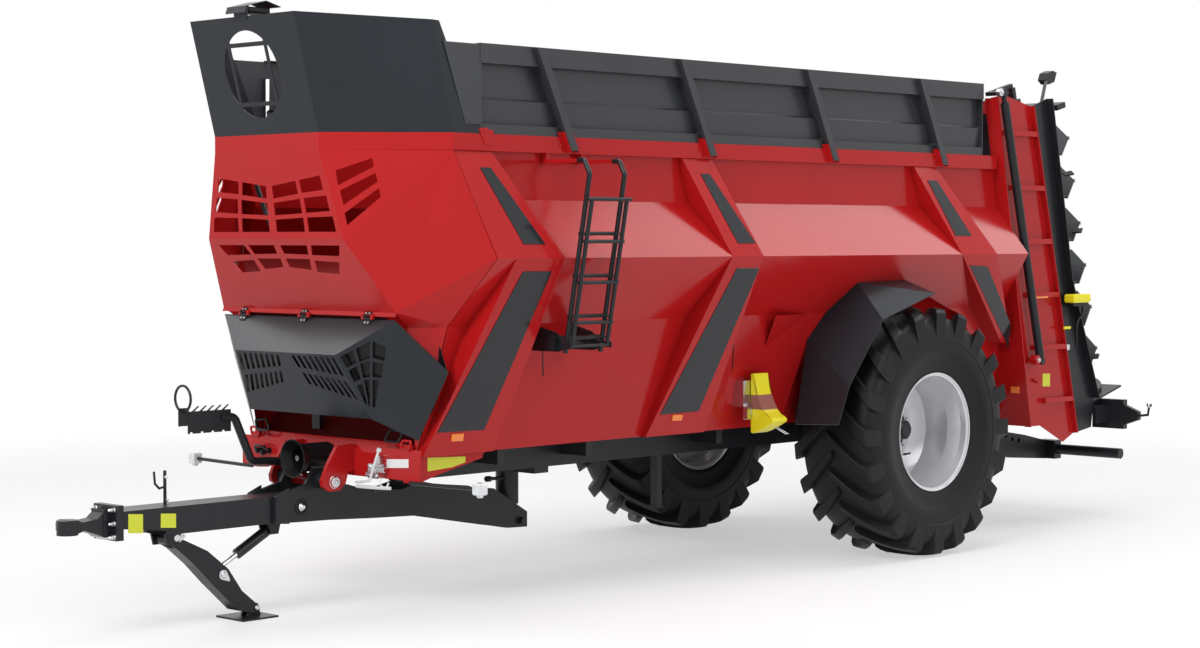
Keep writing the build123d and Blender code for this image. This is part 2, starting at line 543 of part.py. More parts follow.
ARM_S = gate_base + GATE_L + 100
with BuildPart() as gate_rod:
    bar(leant(cyl_r, CYL_Y, CYL_FOOT + 60), leant(cyl_r, CYL_Y, CYL_TOP + 60), ROD_R)
    bar(leant(cyl_r, CYL_Y - 26, CYL_TOP + 80), leant(cyl_r, CYL_Y + 26, CYL_TOP + 80), 34)
    # arm from the rod's eye in over the frame to the gate's head
    slab((cyl_r - 20, cyl_r + 20), (GATE_Y - 60, CYL_Y - 25), (ARM_S, ARM_S + 30))
    slab((cyl_r - 20, gate_r - GATE_T), (GATE_Y - 60, GATE_Y - 20), (ARM_S, ARM_S + 30))
    slab((gate_r - GATE_T - 40, gate_r - GATE_T - FIT), (GATE_Y - 60, GATE_Y), (gate_base + GATE_L - 160, ARM_S + 1))
save("gate_arm_left", gate_rod.part)
save("gate_arm_right", mirrored(gate_rod.part))

with BuildPart() as gate_cylinder:
    bar(leant(cyl_r, CYL_Y, CYL_FOOT), leant(cyl_r, CYL_Y, CYL_TOP), CYL_R)
    bar(leant(cyl_r, CYL_Y, CYL_FOOT + 50), leant(cyl_r, CYL_Y, CYL_TOP + 1), ROD_R + SHAFT_GAP, mode=Mode.SUBTRACT)
    bar(leant(cyl_r, CYL_Y - 24, CYL_FOOT - 30), leant(cyl_r, CYL_Y + 24, CYL_FOOT - 30), 30)
    bar(leant(cyl_r, CYL_Y, CYL_FOOT - 30), leant(cyl_r, CYL_Y, CYL_FOOT + 10), 20)
    bar(leant(cyl_r, FRAME_Y + FIT, CYL_FOOT - 30), leant(cyl_r, CYL_Y - 20, CYL_FOOT - 30), 18)
save("gate_cylinder_left", gate_cylinder.part)
save("gate_cylinder_right", mirrored(gate_cylinder.part))

# ------------------------------------------------------------------ beaters
def rotor(side):
    """One beater: core tube, helical flights of flat segments, knives and the lower disc."""
    y0 = side * BEATER_Y
    core = Plane(origin=leant(0, y0, 0), x_dir=LB, z_dir=LU)
    with BuildPart(mode=Mode.PRIVATE) as piece:
        with BuildSketch(core) as foot:
            Circle(BEATER_R - 30)
        extrude(foot.sketch, amount=10)
        bar(leant(0, y0, 0), leant(0, y0, BEATER_L), CORE_R)
        n = TURNS * STEPS
        step = 360 / STEPS
        rise = (BEATER_L - 240) / n
        for start in (0, 180):
            for i in range(n):
                a = start + side * i * step
                s = 60 + i * rise
                tilt = math.degrees(math.atan2(rise, math.radians(step) * FLIGHT_R * 0.8))
                at = core * Pos(0, 0, s) * Rot(0, 0, a) * Rot(side * tilt, 0, 0)
                with BuildSketch(at) as blade:
                    with BuildLine():
                        w = math.tan(math.radians(step / 2)) * 1.06
                        Polyline((CORE_R - 12, -CORE_R * w), (FLIGHT_R, -FLIGHT_R * w), (FLIGHT_R, FLIGHT_R * w),
                                 (CORE_R - 12, CORE_R * w), close=True)
                    make_face()
                extrude(blade.sketch, amount=8)
                if i % 3 == 0:
                    with BuildSketch(at) as knife:
                        with Locations(((FLIGHT_R + BEATER_R) / 2 - 20, 0)):
                            Rectangle(BEATER_R - FLIGHT_R + 36, 60)
                    extrude(knife.sketch, amount=14)
    return piece.part


beater = rotor(1)
save("beater_left", beater)
save("beater_right", mirrored(beater))

# black side housings behind the rear frame
housing_outline = [(-1749, 3352), (-1979, 3425), (-2080, 3013), (-2289, 1983), (-2702, 1009), (-2665, 769),
                   (-2413, 735)]
with BuildPart() as housing:
    side_plate(housing_outline, (FRAME_Y - PLATE, FRAME_Y))
    for (xa, za), (xb, zb) in ((housing_outline[1], housing_outline[3]), (housing_outline[3], housing_outline[4])):
        facet([(xa, FRAME_Y - 1, za), (xa, FRAME_Y + 60, za), (xb, FRAME_Y + 60, zb), (xb, FRAME_Y - 1, zb)],
              (10, 0, 0))
save("beater_housing_left", housing.part)
save("beater_housing_right", mirrored(housing.part))

BRIDGE_S = BEATER_L + 12
with BuildPart() as bridge:
    slab((-60, 60), (-FRAME_Y + PLATE + FIT, FRAME_Y - PLATE - FIT), (BRIDGE_S, BRIDGE_S + 45))
    for side in (-1, 1):
        bar(leant(0, side * BEATER_Y, BEATER_L + FIT), leant(0, side * BEATER_Y, BRIDGE_S + 5), 70)
save("beater_bridge", bridge.part)

TABLE_S = -20
with BuildPart() as table:
    slab((gate_r - 60, 330), (-FRAME_Y + PLATE + FIT, FRAME_Y - PLATE - FIT), (TABLE_S - 16, TABLE_S))
    for side in (-1, 1):
        bar(leant(0, side * BEATER_Y, TABLE_S - 1), leant(0, side * BEATER_Y, -FIT), 80)
        bar(leant(0, side * BEATER_Y, TABLE_S - 200), leant(0, side * BEATER_Y, TABLE_S - 10), 130)
    slab((-70, 70), (-BEATER_Y, BEATER_Y), (TABLE_S - 150, TABLE_S - 50))
save("beater_table", table.part)

# ------------------------------------------------------------------ fenders
def side_y(z):
    """Outer face of the side sheet between the sill and the ridge."""
    if z < LOW_Z:
        return SILL_Y + (LOW_Y - SILL_Y) * (z - SILL_Z) / (LOW_Z - SILL_Z)
    if z < RIDGE_Z:
        return LOW_Y + (RIDGE_Y - LOW_Y) * (z - LOW_Z) / (RIDGE_Z - LOW_Z)
    return RIDGE_Y - (RIDGE_Y - WALL_Y) * (z - RIDGE_Z) / (WAIST_Z - RIDGE_Z)


def on_arch(x, h, y=None):
    """A point given about the axle; without y it lies on the side sheet."""
    z = AXLE_Z + h * ARCH_K
    return (x * ARCH_K, side_y(z + 5) + 0.5 if y is None else y, z)


EDGE_Y = WHEEL_Y + 261
B0, B1, BC = on_arch(1015, 85, 945), on_arch(845, 678), on_arch(678, 880)
B2, B3 = on_arch(512, 1086), on_arch(-45, 1096)
A0, A2 = on_arch(1102, 111, EDGE_Y), on_arch(985, 370, EDGE_Y)
A3, A4 = on_arch(600, 830, EDGE_Y), on_arch(-20, 1005, EDGE_Y)
with BuildPart() as fender:
    for corners in ((B0, A0, A2), (B0, A2, B1), (B1, A2, BC), (BC, A2, A3), (BC, A3, B2), (B2, A3, A4),
                    (B2, A4, B3)):
        facet(corners, (5, 0, 5))
save("fender_left", fender.part)
save("fender_right", mirrored(fender.part))

# ------------------------------------------------------------------ headstock and drawbar
HEAD_X = (F - 594, F - 478)
HEAD_Y, HEAD_Z = 872, (845, 1068)
EAR_Y = (240, 268)
BEAM_END = F + 1151
EYE_X = F + 1436
COUPLE_Z = (572, 777)
with BuildPart() as headstock:
    side_plate([(HEAD_X[0], HEAD_Z[0]), (HEAD_X[1], HEAD_Z[0]), (HEAD_X[1], 996), (HEAD_X[1] - 34, HEAD_Z[1]),
                (HEAD_X[0], HEAD_Z[1])], (-720, 720))
    side_plate([(HEAD_X[1] - 16, HEAD_Z[0]), (HEAD_X[1], HEAD_Z[0]), (HEAD_X[1], 996), (HEAD_X[1] - 16, 1034)],
               (-HEAD_Y, HEAD_Y))
    block((F - 744, HEAD_X[0]), (-CH_Y[0] + FIT, CH_Y[0] - FIT), (CH_Z[0] + 10, CH_Z[1]))
    for side in (-1, 1):
        y = tuple(sorted((side * 716, side * 770)))
        side_plate([(HEAD_X[1] - 6, 1060), (HEAD_X[1] - 6, 830), (F - 571, 824), (F - 1111, 972),
                    (F - 1111, SILL_Z - FIT), (F - 520, SILL_Z - FIT), (F - 520, 1060)], y)
        y = tuple(sorted((side * EAR_Y[0], side * EAR_Y[1])))
        side_plate([(HEAD_X[1] - 6, 1040), (F - 335, 1032), (F - 267, 931), (F - 218, 830), (F - 224, 790),
                    (F - 274, 757), (F - 354, 757), (F - 404, 800), (F - 424, 866), (HEAD_X[1] - 6, 880)], y)
    bar((PIVOT[0], -EAR_Y[1] - 17, PIVOT[1]), (PIVOT[0], EAR_Y[1] + 17, PIVOT[1]), PIN_R)
save("headstock", headstock.part)

with BuildPart() as drawbar:
    block((F - 194, BEAM_END), (-BEAM_Y, BEAM_Y), BEAM_Z)
    side_plate([(F + 906, 500), (BEAM_END + 1, 500), (BEAM_END + 1, 640), (F + 826, 600)], (-200, 200),
               mode=Mode.SUBTRACT)
    block((BEAM_END - 20, BEAM_END), (-115, 115), COUPLE_Z)
    for side in (-1, 1):
        y = tuple(sorted((side * (BEAM_Y - 1), side * (BEAM_Y + 24))))
        side_plate([(F + 46, 575), (F + 46, 740), (F - 194, 800), (F - 254, 890), (F - 364, 890), (F - 434, 800),
                    (F - 754, 712), (F - 978, 706), (F - 1164, 743), (F - 1368, 700), (F - 1795, 650),
                    (SPRING[0] - 60, 470), (SPRING[0] - 60, 366), (SPRING[0] + 130, 374), (F - 1206, 506),
                    (F - 1199, 523), (F - 753, 542), (F - 385, 562)], y)
        side_plate([(F + 46, 575), (F + 46, 740), (F + 40, 746), (F - 60, 786), (F - 60, 566)],
                   tuple(sorted((side * (BEAM_Y + 23), side * (BEAM_Y + 32)))))
    for x in (F - 1794, F - 1294, F - 794):
        block((x, x + 40), (-BEAM_Y, BEAM_Y), (560, 640))
    for side in (-1, 1):
        bar((PIVOT[0], side * (BEAM_Y - 5), PIVOT[1]), (PIVOT[0], side * (EAR_Y[0] - 5), PIVOT[1]), 50)
    bar((PIVOT[0], -EAR_Y[0], PIVOT[1]), (PIVOT[0], EAR_Y[0], PIVOT[1]), PIN_R + SHAFT_GAP, mode=Mode.SUBTRACT)
    bar((SPRING[0], -BEAM_Y - 40, SPRING[1]), (SPRING[0], BEAM_Y + 40, SPRING[1]), 24 + SHAFT_GAP, mode=Mode.SUBTRACT)
    # ears for the jack
    for side in (-1, 1):
        y = tuple(sorted((side * 62, side * 76)))
        side_plate([(JACK_PIVOT[0] - 60, 580), (JACK_PIVOT[0] + 60, 580), (JACK_PIVOT[0] + 40, 500),
                    (JACK_PIVOT[0] - 40, 500)], y)
        y = tuple(sorted((side * 41, side * 53)))
        side_plate([(JACK_TOP[0] - 50, 580), (JACK_TOP[0] + 50, 580), (JACK_TOP[0] + 30, 500),
                    (JACK_TOP[0] - 30, 500)], y)
    bar((JACK_PIVOT[0], -76, JACK_PIVOT[1]), (JACK_PIVOT[0], 76, JACK_PIVOT[1]), 18)
    bar((JACK_TOP[0], -53, JACK_TOP[1]), (JACK_TOP[0], 53, JACK_TOP[1]), 14)
save("drawbar", drawbar.part)

with BuildPart() as coupling:
    block((BEAM_END + FIT, BEAM_END + 30), (-115, 115), COUPLE_Z)
    block((BEAM_END + 29, BEAM_END + 82), (-62, 62), (COUPLE_Z[0] + 24, COUPLE_Z[1] - 24))
    side_plate([(BEAM_END + 81, 596), (BEAM_END + 81, 738), (EYE_X - 164, 704), (EYE_X - 66, 694), (EYE_X - 29, 709),
                (EYE_X + 18, 711), (EYE_X + 40, 695), (EYE_X + 40, 648), (EYE_X - 41, 633), (EYE_X - 77, 645),
                (EYE_X - 175, 610)], (-58, 58))
    bar((EYE_X, 0, 622), (EYE_X, 0, 708), 62)
    with Locations((EYE_X, 0, 622)):
        Sphere(40 + SHAFT_GAP, mode=Mode.SUBTRACT)
save("coupling", coupling.part)

with BuildPart() as spring_cylinder:
    bar((SPRING[0], 0, 520), (SPRING[0], 0, CH_Z[0] - 40 - FIT), 78)
    bar((SPRING[0], 0, SPRING[1] + 30), (SPRING[0], 0, 521), 20)
    bar((SPRING[0], -60, SPRING[1]), (SPRING[0], 60, SPRING[1]), 40)
    bar((SPRING[0], -BEAM_Y - 60, SPRING[1]), (SPRING[0], BEAM_Y + 60, SPRING[1]), 24)
    bar((SPRING[0] + 60, 40, 700), (SPRING[0] + 260, 100, 712), 12)
    bar((SPRING[0] + 255, 98.5, 711.7), (SPRING[0] + 293, 110, 714), 20)
save("spring_cylinder", spring_cylinder.part)

# ------------------------------------------------------------------ parking jack
with BuildPart() as leg:
    fx, fz = JACK_FOOT
    outline = [(F + 759, 569), (F + 700, 543), (F + 600, 496), (F + 495, 446), (F + 340, 321), (F + 239, 177),
               (fx + 8, fz + 34), (fx - 24, fz + 8), (fx - 26, fz - 14), (fx - 8, fz - 26), (fx + 28, fz - 28),
               (fx + 135, fz - 4), (F + 456, 234), (F + 588, 368), (F + 719, 479), (F + 790, 518), (F + 794, 540),
               (F + 780, 562)]
    for side in (-1, 1):
        side_plate(outline, tuple(sorted((side * 46, side * 56))))
    side_plate(sheet([(fx + 135, fz - 4), (F + 456, 234), (F + 588, 368), (F + 719, 479)], 8), (-47, 47))
    bar((JACK_PIN[0], -56, JACK_PIN[1]), (JACK_PIN[0], 56, JACK_PIN[1]), JACK_PIN_R)
    bar((JACK_PIVOT[0], -56, JACK_PIVOT[1]), (JACK_PIVOT[0], 56, JACK_PIVOT[1]), 32)
    bar((JACK_PIVOT[0], -60, JACK_PIVOT[1]), (JACK_PIVOT[0], 60, JACK_PIVOT[1]), 18 + SHAFT_GAP, mode=Mode.SUBTRACT)
    bar((fx, -60, fz), (fx, 60, fz), 14)
save("jack_leg", leg.part)

with BuildPart() as foot:
    block((fx - 110, fx + 160), (-135, 135), (GROUND, GROUND + 12))
    for side in (-1, 1):
        y = tuple(sorted((side * 20, side * 36)))
        side_plate([(fx - 50, GROUND + 11), (fx + 50, GROUND + 11), (fx + 26, fz + 24), (fx - 26, fz + 24)], y)
    bar((fx, -40, fz), (fx, 40, fz), 14 + SHAFT_GAP, mode=Mode.SUBTRACT)
save("jack_foot", foot.part)

jack_d = math.dist(JACK_TOP, JACK_PIN)
jx, jz = (JACK_PIN[0] - JACK_TOP[0]) / jack_d, (JACK_PIN[1] - JACK_TOP[1]) / jack_d


def on_jack(t, y=0.0):
    return (JACK_TOP[0] + jx * t, y, JACK_TOP[1] + jz * t)


BARREL_END = 285
with BuildPart() as jack_barrel:
    bar(on_jack(26), on_jack(BARREL_END), JACK_BARREL)
    bar(on_jack(0, -34), on_jack(0, 34), 30)
    bar(on_jack(0, -60), on_jack(0, 60), 14 + SHAFT_GAP, mode=Mode.SUBTRACT)
    bar(on_jack(60), on_jack(BARREL_END + 1), JACK_ROD + SHAFT_GAP, mode=Mode.SUBTRACT)
save("jack_barrel", jack_barrel.part)

# the rod's eye is bored wide, so that it keeps clear of the pin while the leg folds
with BuildPart() as jack_rod:
    bar(on_jack(BARREL_END - 50), on_jack(jack_d - 30), JACK_ROD)
    bar(on_jack(jack_d, -30), on_jack(jack_d, 30), JACK_PIN_R + EYE_ROOM + 11)
    bar(on_jack(jack_d, -60), on_jack(jack_d, 60), JACK_PIN_R + EYE_ROOM - 0.5, mode=Mode.SUBTRACT)
save("jack_rod", jack_rod.part)

# ------------------------------------------------------------------ front cover, pto guard
SIDE_N = (0.791, 0.5606, -0.2447)       # outward normal of the cover's left side
H1 = (F - 314, 839, 1828)               # upper corner


def on_side(y, z, out=0.0):
    """A point of the cover's side sheet, or one standing out from it."""
    x = H1[0] + (SIDE_N[1] * (H1[1] - y) + SIDE_N[2] * (H1[2] - z)) / SIDE_N[0]
    return (x + out * SIDE_N[0], y + out * SIDE_N[1], z + out * SIDE_N[2])


H2, H3, H4, H5 = on_side(493, 1614), on_side(598, 1221), on_side(812, 1089), on_side(1048, 1515)
# grilles of the side sheet: y and z of their corners
GRILLES = [[(518, 1604), (593, 1646), (594, 1569), (537, 1535)], [(607, 1655), (688, 1700), (667, 1597), (609, 1572)],
           [(702, 1702), (762, 1663), (737, 1578), (681, 1600)], [(543, 1520), (596, 1554), (595, 1468), (556, 1449)],
           [(610, 1563), (664, 1583), (644, 1480), (607, 1474)], [(676, 1575), (729, 1565), (700, 1475), (657, 1480)],
           [(566, 1429), (597, 1438), (596, 1312), (588, 1311)], [(611, 1463), (641, 1466), (607, 1300), (601, 1300)],
           [(654, 1464), (688, 1464), (633, 1295), (620, 1295)]]
# rows of upright slots: y at the two ends of the upper edge and their z, then the lower edge
SLOTS = [((62, 1597), (474, 1597), (85, 1525), (503, 1484)), ((100, 1491), (497, 1452), (125, 1421), (550, 1336))]
with BuildPart() as cover:
    facet([H1, other(H1), other(H2), H2], (-3, 0, -3))
    facet([H2, other(H2), other(H3), H3], (-4, 0, 0))
    for flip in (1, -1):
        facet([(x, flip * y, z) for x, y, z in (H1, H2, H3, H4, H5)], (-4, -4 * flip, 0))
        for grille in GRILLES:
            corners = [on_side(y, z, 20) for y, z in grille]
            facet([(x, flip * y, z) for x, y, z in corners],
                  (-40 * SIDE_N[0], -40 * flip * SIDE_N[1], -40 * SIDE_N[2]), mode=Mode.SUBTRACT)
        for (ya, za), (yb, zb), (yc, zc), (yd, zd) in SLOTS:
            for i in range(8):
                t, u = i / 7.5, (i + 0.5) / 7.5
                section([(flip * (ya + (yb - ya) * t), za + (zb - za) * t),
                         (flip * (ya + (yb - ya) * u), za + (zb - za) * u),
                         (flip * (yc + (yd - yc) * u), zc + (zd - zc) * u),
                         (flip * (yc + (yd - yc) * t), zc + (zd - zc) * t)], (F - 345, F - 120), mode=Mode.SUBTRACT)
    for y in HINGES:
        bar((HINGE[0], y - KN_HALF, HINGE[1]), (HINGE[0], y + KN_HALF, HINGE[1]), KNUCKLE)
        block((HINGE[0] - 7, HINGE[0] + 3), (y - KN_HALF, y + KN_HALF), (HINGE[1] - 28, HINGE[1] - 2))
        bar((HINGE[0], y - KN_HALF - 1, HINGE[1]), (HINGE[0], y + KN_HALF + 1, HINGE[1]), 4 + SHAFT_GAP,
            mode=Mode.SUBTRACT)
save("front_cover", cover.part)

PTO_Z = 950
with BuildPart() as pto_guard:
    with BuildSketch(Plane.XZ) as outline:
        with BuildLine():
            Polyline((HEAD_X[1] + FIT, PTO_Z + 89), (F - 262, PTO_Z + 89), (F - 196, PTO_Z + 121),
                     (F - 196, PTO_Z + 114), (F - 260, PTO_Z + 83), (HEAD_X[1] + FIT, PTO_Z + 83), close=True)
        make_face()
    revolve(outline.sketch, axis=Axis((0, 0, PTO_Z), (1, 0, 0)))
save("pto_guard", pto_guard.part)

with BuildPart() as pto_shaft:
    bar((HEAD_X[1] + 0.5, 0, PTO_Z), (F - 394, 0, PTO_Z), 40)
    bar((F - 395, 0, PTO_Z), (F - 234, 0, PTO_Z), 17.4)
save("pto_shaft", pto_shaft.part)

# ------------------------------------------------------------------ hose arm, hook, markers
ARM_Y = -200
comb = [(F + 125, 1130), (F + 446, 1130), (F + 446, 1266)]
for i in range(5):
    comb += [(F + 416 - 56 * i, 1266), (F + 370 - 56 * i, 1298), (F + 364 - 56 * i, 1294), (F + 400 - 56 * i, 1266)]
comb += [(F + 125, 1266)]
with BuildPart() as hose_arm:
    pipe([(HEAD_X[1] + 2, ARM_Y, 905), (F - 34, ARM_Y, 930), (F + 96, ARM_Y, 1215), (F + 200, ARM_Y, 1222)], 50, 26)
    side_plate(comb, (ARM_Y - 4, ARM_Y + 4))
    for x in (F + 170, F + 250, F + 330, F + 410):
        block((x, x + 22), (ARM_Y - 5, ARM_Y + 5), (1129, 1140), mode=Mode.SUBTRACT)
    block((F + 440, F + 516), (ARM_Y - 3, ARM_Y + 3), (1180, 1290))
    with Locations(Location((F + 482, ARM_Y, 1347), (0, 90, 0))):
        Torus(79, 8)
save("hose_arm", hose_arm.part)

with BuildPart() as hook:
    bar((F + 718, -60, BEAM_Z[1] + FIT), (F + 718, -60, 938), 10)
    bar((F + 718, -60, 842), (F + 758, -60, 833), 7)
    bar((F + 757, -60, 831), (F + 790, -60, 864), 7)
    bar((F + 789, -60, 860), (F + 796, -60, 936), 7)
save("hose_hook", hook.part)

MARK_Y = 1400
with BuildPart() as marker:
    pipe([(F - 486, 780, HEAD_Z[0] - FIT - 12), (F - 486, HEAD_Y + 10, HEAD_Z[0] - FIT - 12),
          (F - 486, MARK_Y - 20, 840)], 60, 12)
    block((F - 509, F - 459), (MARK_Y - 25, MARK_Y + 25), (812, 872))
save("front_marker_left", marker.part)
save("front_marker_right", mirrored(marker.part))

# ------------------------------------------------------------------ ladder
LAD_TOP, LAD_FOOT = (1416, 2719), (1208, 1626)
FOLD_Z = LAD_FOOT[1] + 25       # hinge of the fold-down section
FOLD_OUT = 50
RUNG_OVER = 20                  # rungs reach this far past the middle of a rail


def ladder_at(x, z, out=0.0):
    t = (z - LAD_FOOT[1]) / (LAD_TOP[1] - LAD_FOOT[1])
    return (x, LAD_FOOT[0] + (LAD_TOP[0] - LAD_FOOT[0]) * t + out, z)


fold_y = ladder_at(0, FOLD_Z)[1]
x0, x1 = LADDER_X
with BuildPart() as ladder:
    for x, way in ((x0, -1), (x1, 1)):
        pipe([ladder_at(x, LAD_FOOT[1] - 20), ladder_at(x, LAD_TOP[1]), (x, LAD_ARM + 52, RAIL_Z - 51),
              (x, LAD_ARM + FIT, RAIL_Z - 51)], 30, 16)
        block(tuple(sorted((x + way * 20, x + way * 28))), (fold_y - 8, fold_y + FOLD_OUT + 16),
              (FOLD_Z - 18, FOLD_Z + 18))
        block(tuple(sorted((x, x + way * 28))), (fold_y - 8, fold_y + 8), (FOLD_Z - 18, FOLD_Z + 18))
    for z in (2349, 2087, 1835, 1700):
        bar(ladder_at(x0 - RUNG_OVER, z), ladder_at(x1 + RUNG_OVER, z), 12)
save("ladder", ladder.part)

with BuildPart() as lower_ladder:
    for x in LADDER_X:
        bar(ladder_at(x, FOLD_Z, FOLD_OUT), ladder_at(x, 2566, FOLD_OUT), 14)
    bar(ladder_at(x0 - 20 + FIT, FOLD_Z, FOLD_OUT), ladder_at(x1 + 20 - FIT, FOLD_Z, FOLD_OUT), 10)
    for z, over in ((2562, 38), (2300, RUNG_OVER), (2045, RUNG_OVER), (1795, RUNG_OVER)):
        bar(ladder_at(x0 - over, z, FOLD_OUT), ladder_at(x1 + over, z, FOLD_OUT), 12)
save("lower_ladder", lower_ladder.part)

with BuildPart() as ladder_bracket:
    y = ladder_at(0, 1610)[1] - 16 - 2 * FIT
    for x in LADDER_X:
        section([(side_y(1612) + FIT, 1612), (y - 40, 1612), (y, 1624), (y, 1680), (y - 60, 1730),
                 (side_y(1772) + FIT, 1772)], (x - 7, x + 7))
        block((x - 45, x + 45), (y - 70, y - 40), (1625, 1712))
    bar((x0, y - 90, 1665), (x1, y - 90, 1665), 10)
save("ladder_bracket", ladder_bracket.part)

# ------------------------------------------------------------------ chock, lamps, under-run bar
AHEAD = 1102 * (ARCH_K - 1)     # the chock keeps its place ahead of the fender
with BuildPart() as chock:
    side_plate([(x + AHEAD, z) for x, z in (
        (1575, 965), (1575, 1382), (1430, 1380), (1400, 1250), (1330, 1150), (1200, 1064), (1230, 1020))], (920, 1080))
save("wheel_chock", chock.part)

with BuildPart() as holder:
    section([(side_y(1150) + FIT, 1150), (920 - FIT, 1150), (920 - FIT, 1330), (side_y(1330) + FIT, 1330)],
            (1440 + AHEAD, 1560 + AHEAD))
save("chock_holder", holder.part)

LIGHT_X = (-2960, -2900)
with BuildPart() as light_panel:
    block(LIGHT_X, (FRAME_Y - 136, FRAME_Y + 158), (747, 988))
    block((LIGHT_X[0], LIGHT_X[0] + 54), (FRAME_Y - 130, FRAME_Y + 152), (753, 982), mode=Mode.SUBTRACT)
    block((LIGHT_X[1] - 1, -2690), (FRAME_Y + FIT, FRAME_Y + 30), (800, 940))
    section([(FRAME_Y + 157, 780), (FRAME_Y + 157, 950), (FRAME_Y + 295, 896), (FRAME_Y + 295, 829)],
            (LIGHT_X[1] - 46, LIGHT_X[1]))
    bar((-2922, FRAME_Y + 290, 862), (-2922, FRAME_Y + 376, 874), 10)
    bar((-2922, FRAME_Y + 374, 868), (-2922, FRAME_Y + 386, 945), 9)
    with Locations((-2922, FRAME_Y + 386, 954)):
        Sphere(22)
save("light_panel_left", light_panel.part)
save("light_panel_right", mirrored(light_panel.part))

UNDER_X, UNDER_Z = -2900, 543
with BuildPart() as under_run:
    bar((UNDER_X, -1197, UNDER_Z), (UNDER_X, 1197, UNDER_Z), 43)
    for side in (-1, 1):
        y = tuple(sorted((side * 460, side * 500)))
        side_plate([(-1800, CH_Z[0] - FIT), (-2200, CH_Z[0] - FIT), (-2227, 727), (-2545, 678), (-2862, 612),
                    (-2862, 460), (-2300, 505), (-1800, 700)], y)
        block((UNDER_X - 48, UNDER_X + 48), tuple(sorted((side * 430, side * 592))), (463, 618))
        for x, z in ((-2267, 690), (-2359, 655), (-2452, 640)):
            bar((x, side * 455, z), (x, side * 505, z), 20, mode=Mode.SUBTRACT)
save("underrun_bar", under_run.part)

with BuildPart() as work_lamp:
    block((-1960, -1910), (FRAME_Y - PLATE - 30, FRAME_Y - PLATE - FIT), (3340, 3395))
    bar((-1935, FRAME_Y - 24, 3380), (-2190, 915, 3600), 14)
    side_plate([(-2150, 3589), (-2176, 3645), (-2250, 3668), (-2305, 3655), (-2272, 3580), (-2200, 3556)],
               (860, 940))
save("work_lamp", work_lamp.part)

# ------------------------------------------------------------------ write the pieces
boxes = [part.bounding_box() for part in made.values()]
front, rear = max(b.max.X for b in boxes), min(b.min.X for b in boxes)
middle_x = (front + rear) / 2
os.makedirs("parts", exist_ok=True)
for name, part in made.items():
    piece = part.moved(Location((-middle_x, 0, -GROUND)))
    piece.label = name
    export_step(piece, f"parts/{name}.step")
print(f"{len(made)} pieces, moved along x by {-middle_x:.3f}; length {front - rear:.1f}, "
      f"width {2 * max(b.max.Y for b in boxes):.1f}, height {max(b.max.Z for b in boxes) - GROUND:.1f}")
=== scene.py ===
# %% [markdown]
# # Towed manure spreader with two upright beaters
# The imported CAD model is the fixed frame: every sheet, wheel and rod is already in place.
# This lesson adds the camera, the studio, the finishes and the small parts, such as tread
# bars, bolts, lamps and pin caps.

# %% Load the frame
import bmesh
import bpy
import math
import numpy as np
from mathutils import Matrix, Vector


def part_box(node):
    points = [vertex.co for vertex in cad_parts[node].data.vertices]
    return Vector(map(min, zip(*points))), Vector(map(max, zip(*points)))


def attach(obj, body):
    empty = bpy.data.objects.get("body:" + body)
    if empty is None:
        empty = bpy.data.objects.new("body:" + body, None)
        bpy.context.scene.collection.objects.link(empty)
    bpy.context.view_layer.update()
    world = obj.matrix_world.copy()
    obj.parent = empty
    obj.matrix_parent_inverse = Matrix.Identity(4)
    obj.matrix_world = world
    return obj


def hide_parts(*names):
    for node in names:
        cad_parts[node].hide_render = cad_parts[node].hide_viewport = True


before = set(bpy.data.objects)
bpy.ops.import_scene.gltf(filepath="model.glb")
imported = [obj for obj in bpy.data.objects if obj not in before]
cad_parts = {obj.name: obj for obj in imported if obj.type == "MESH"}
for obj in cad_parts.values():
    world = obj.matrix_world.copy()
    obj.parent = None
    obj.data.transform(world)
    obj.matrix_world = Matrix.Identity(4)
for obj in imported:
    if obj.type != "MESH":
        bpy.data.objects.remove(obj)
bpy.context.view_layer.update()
scene = bpy.context.scene

# %% [markdown]
# ## Places to measure from
# The middle of the axle, read from the box of the CAD axle, is the datum of the machine.

# %% The datum on the axle
axle_box = np.array(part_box("axle"))
AXLE_X = float(axle_box[:, 0].mean())
AXLE_Z = float(axle_box[:, 2].mean())
SIDES = ((1, "left"), (-1, "right"))


def at(x, y, z):
    """A point x metres ahead of the axle, y to the left and z above the ground."""
    return (AXLE_X + x, y, z)


print("axle", round(AXLE_X, 4), round(AXLE_Z, 4))

# %% [markdown]
# ## Camera
# A long lens far off the front left corner keeps the hopper's edges nearly parallel. The aim
# is a direction, turned into a rotation that keeps the machine upright.

# %% Camera
CAMERA_AT = Vector(at(13.889, 11.437, 2.33))
CAMERA_AIM = Vector((-0.719, -0.694, -0.0374))
camera_data = bpy.data.cameras.new("camera")
camera_data.lens = 70.04
camera_data.sensor_width = 36.0
camera_data.clip_end = 200
camera = bpy.data.objects.new("camera", camera_data)
camera.location = CAMERA_AT
camera.rotation_euler = CAMERA_AIM.to_track_quat("-Z", "Y").to_euler()
scene.collection.objects.link(camera)
scene.camera = camera
scene.view_settings.view_transform = "Standard"
print("camera lens", camera_data.lens)

# %% [markdown]
# ## Studio
# The hall is white: a floor that runs out of sight, a plain world and large soft lamps. Light
# Path tells the world which rays come from the camera, so the white that it sees adds no
# light to the machine. Gloss paint shows its shape by what it mirrors: the upper faces of the
# ridge mirror the back lamp to the camera, and the top of the front cover the right lamp.

# %% Lamps and world
WORLD_FILL = 0.27


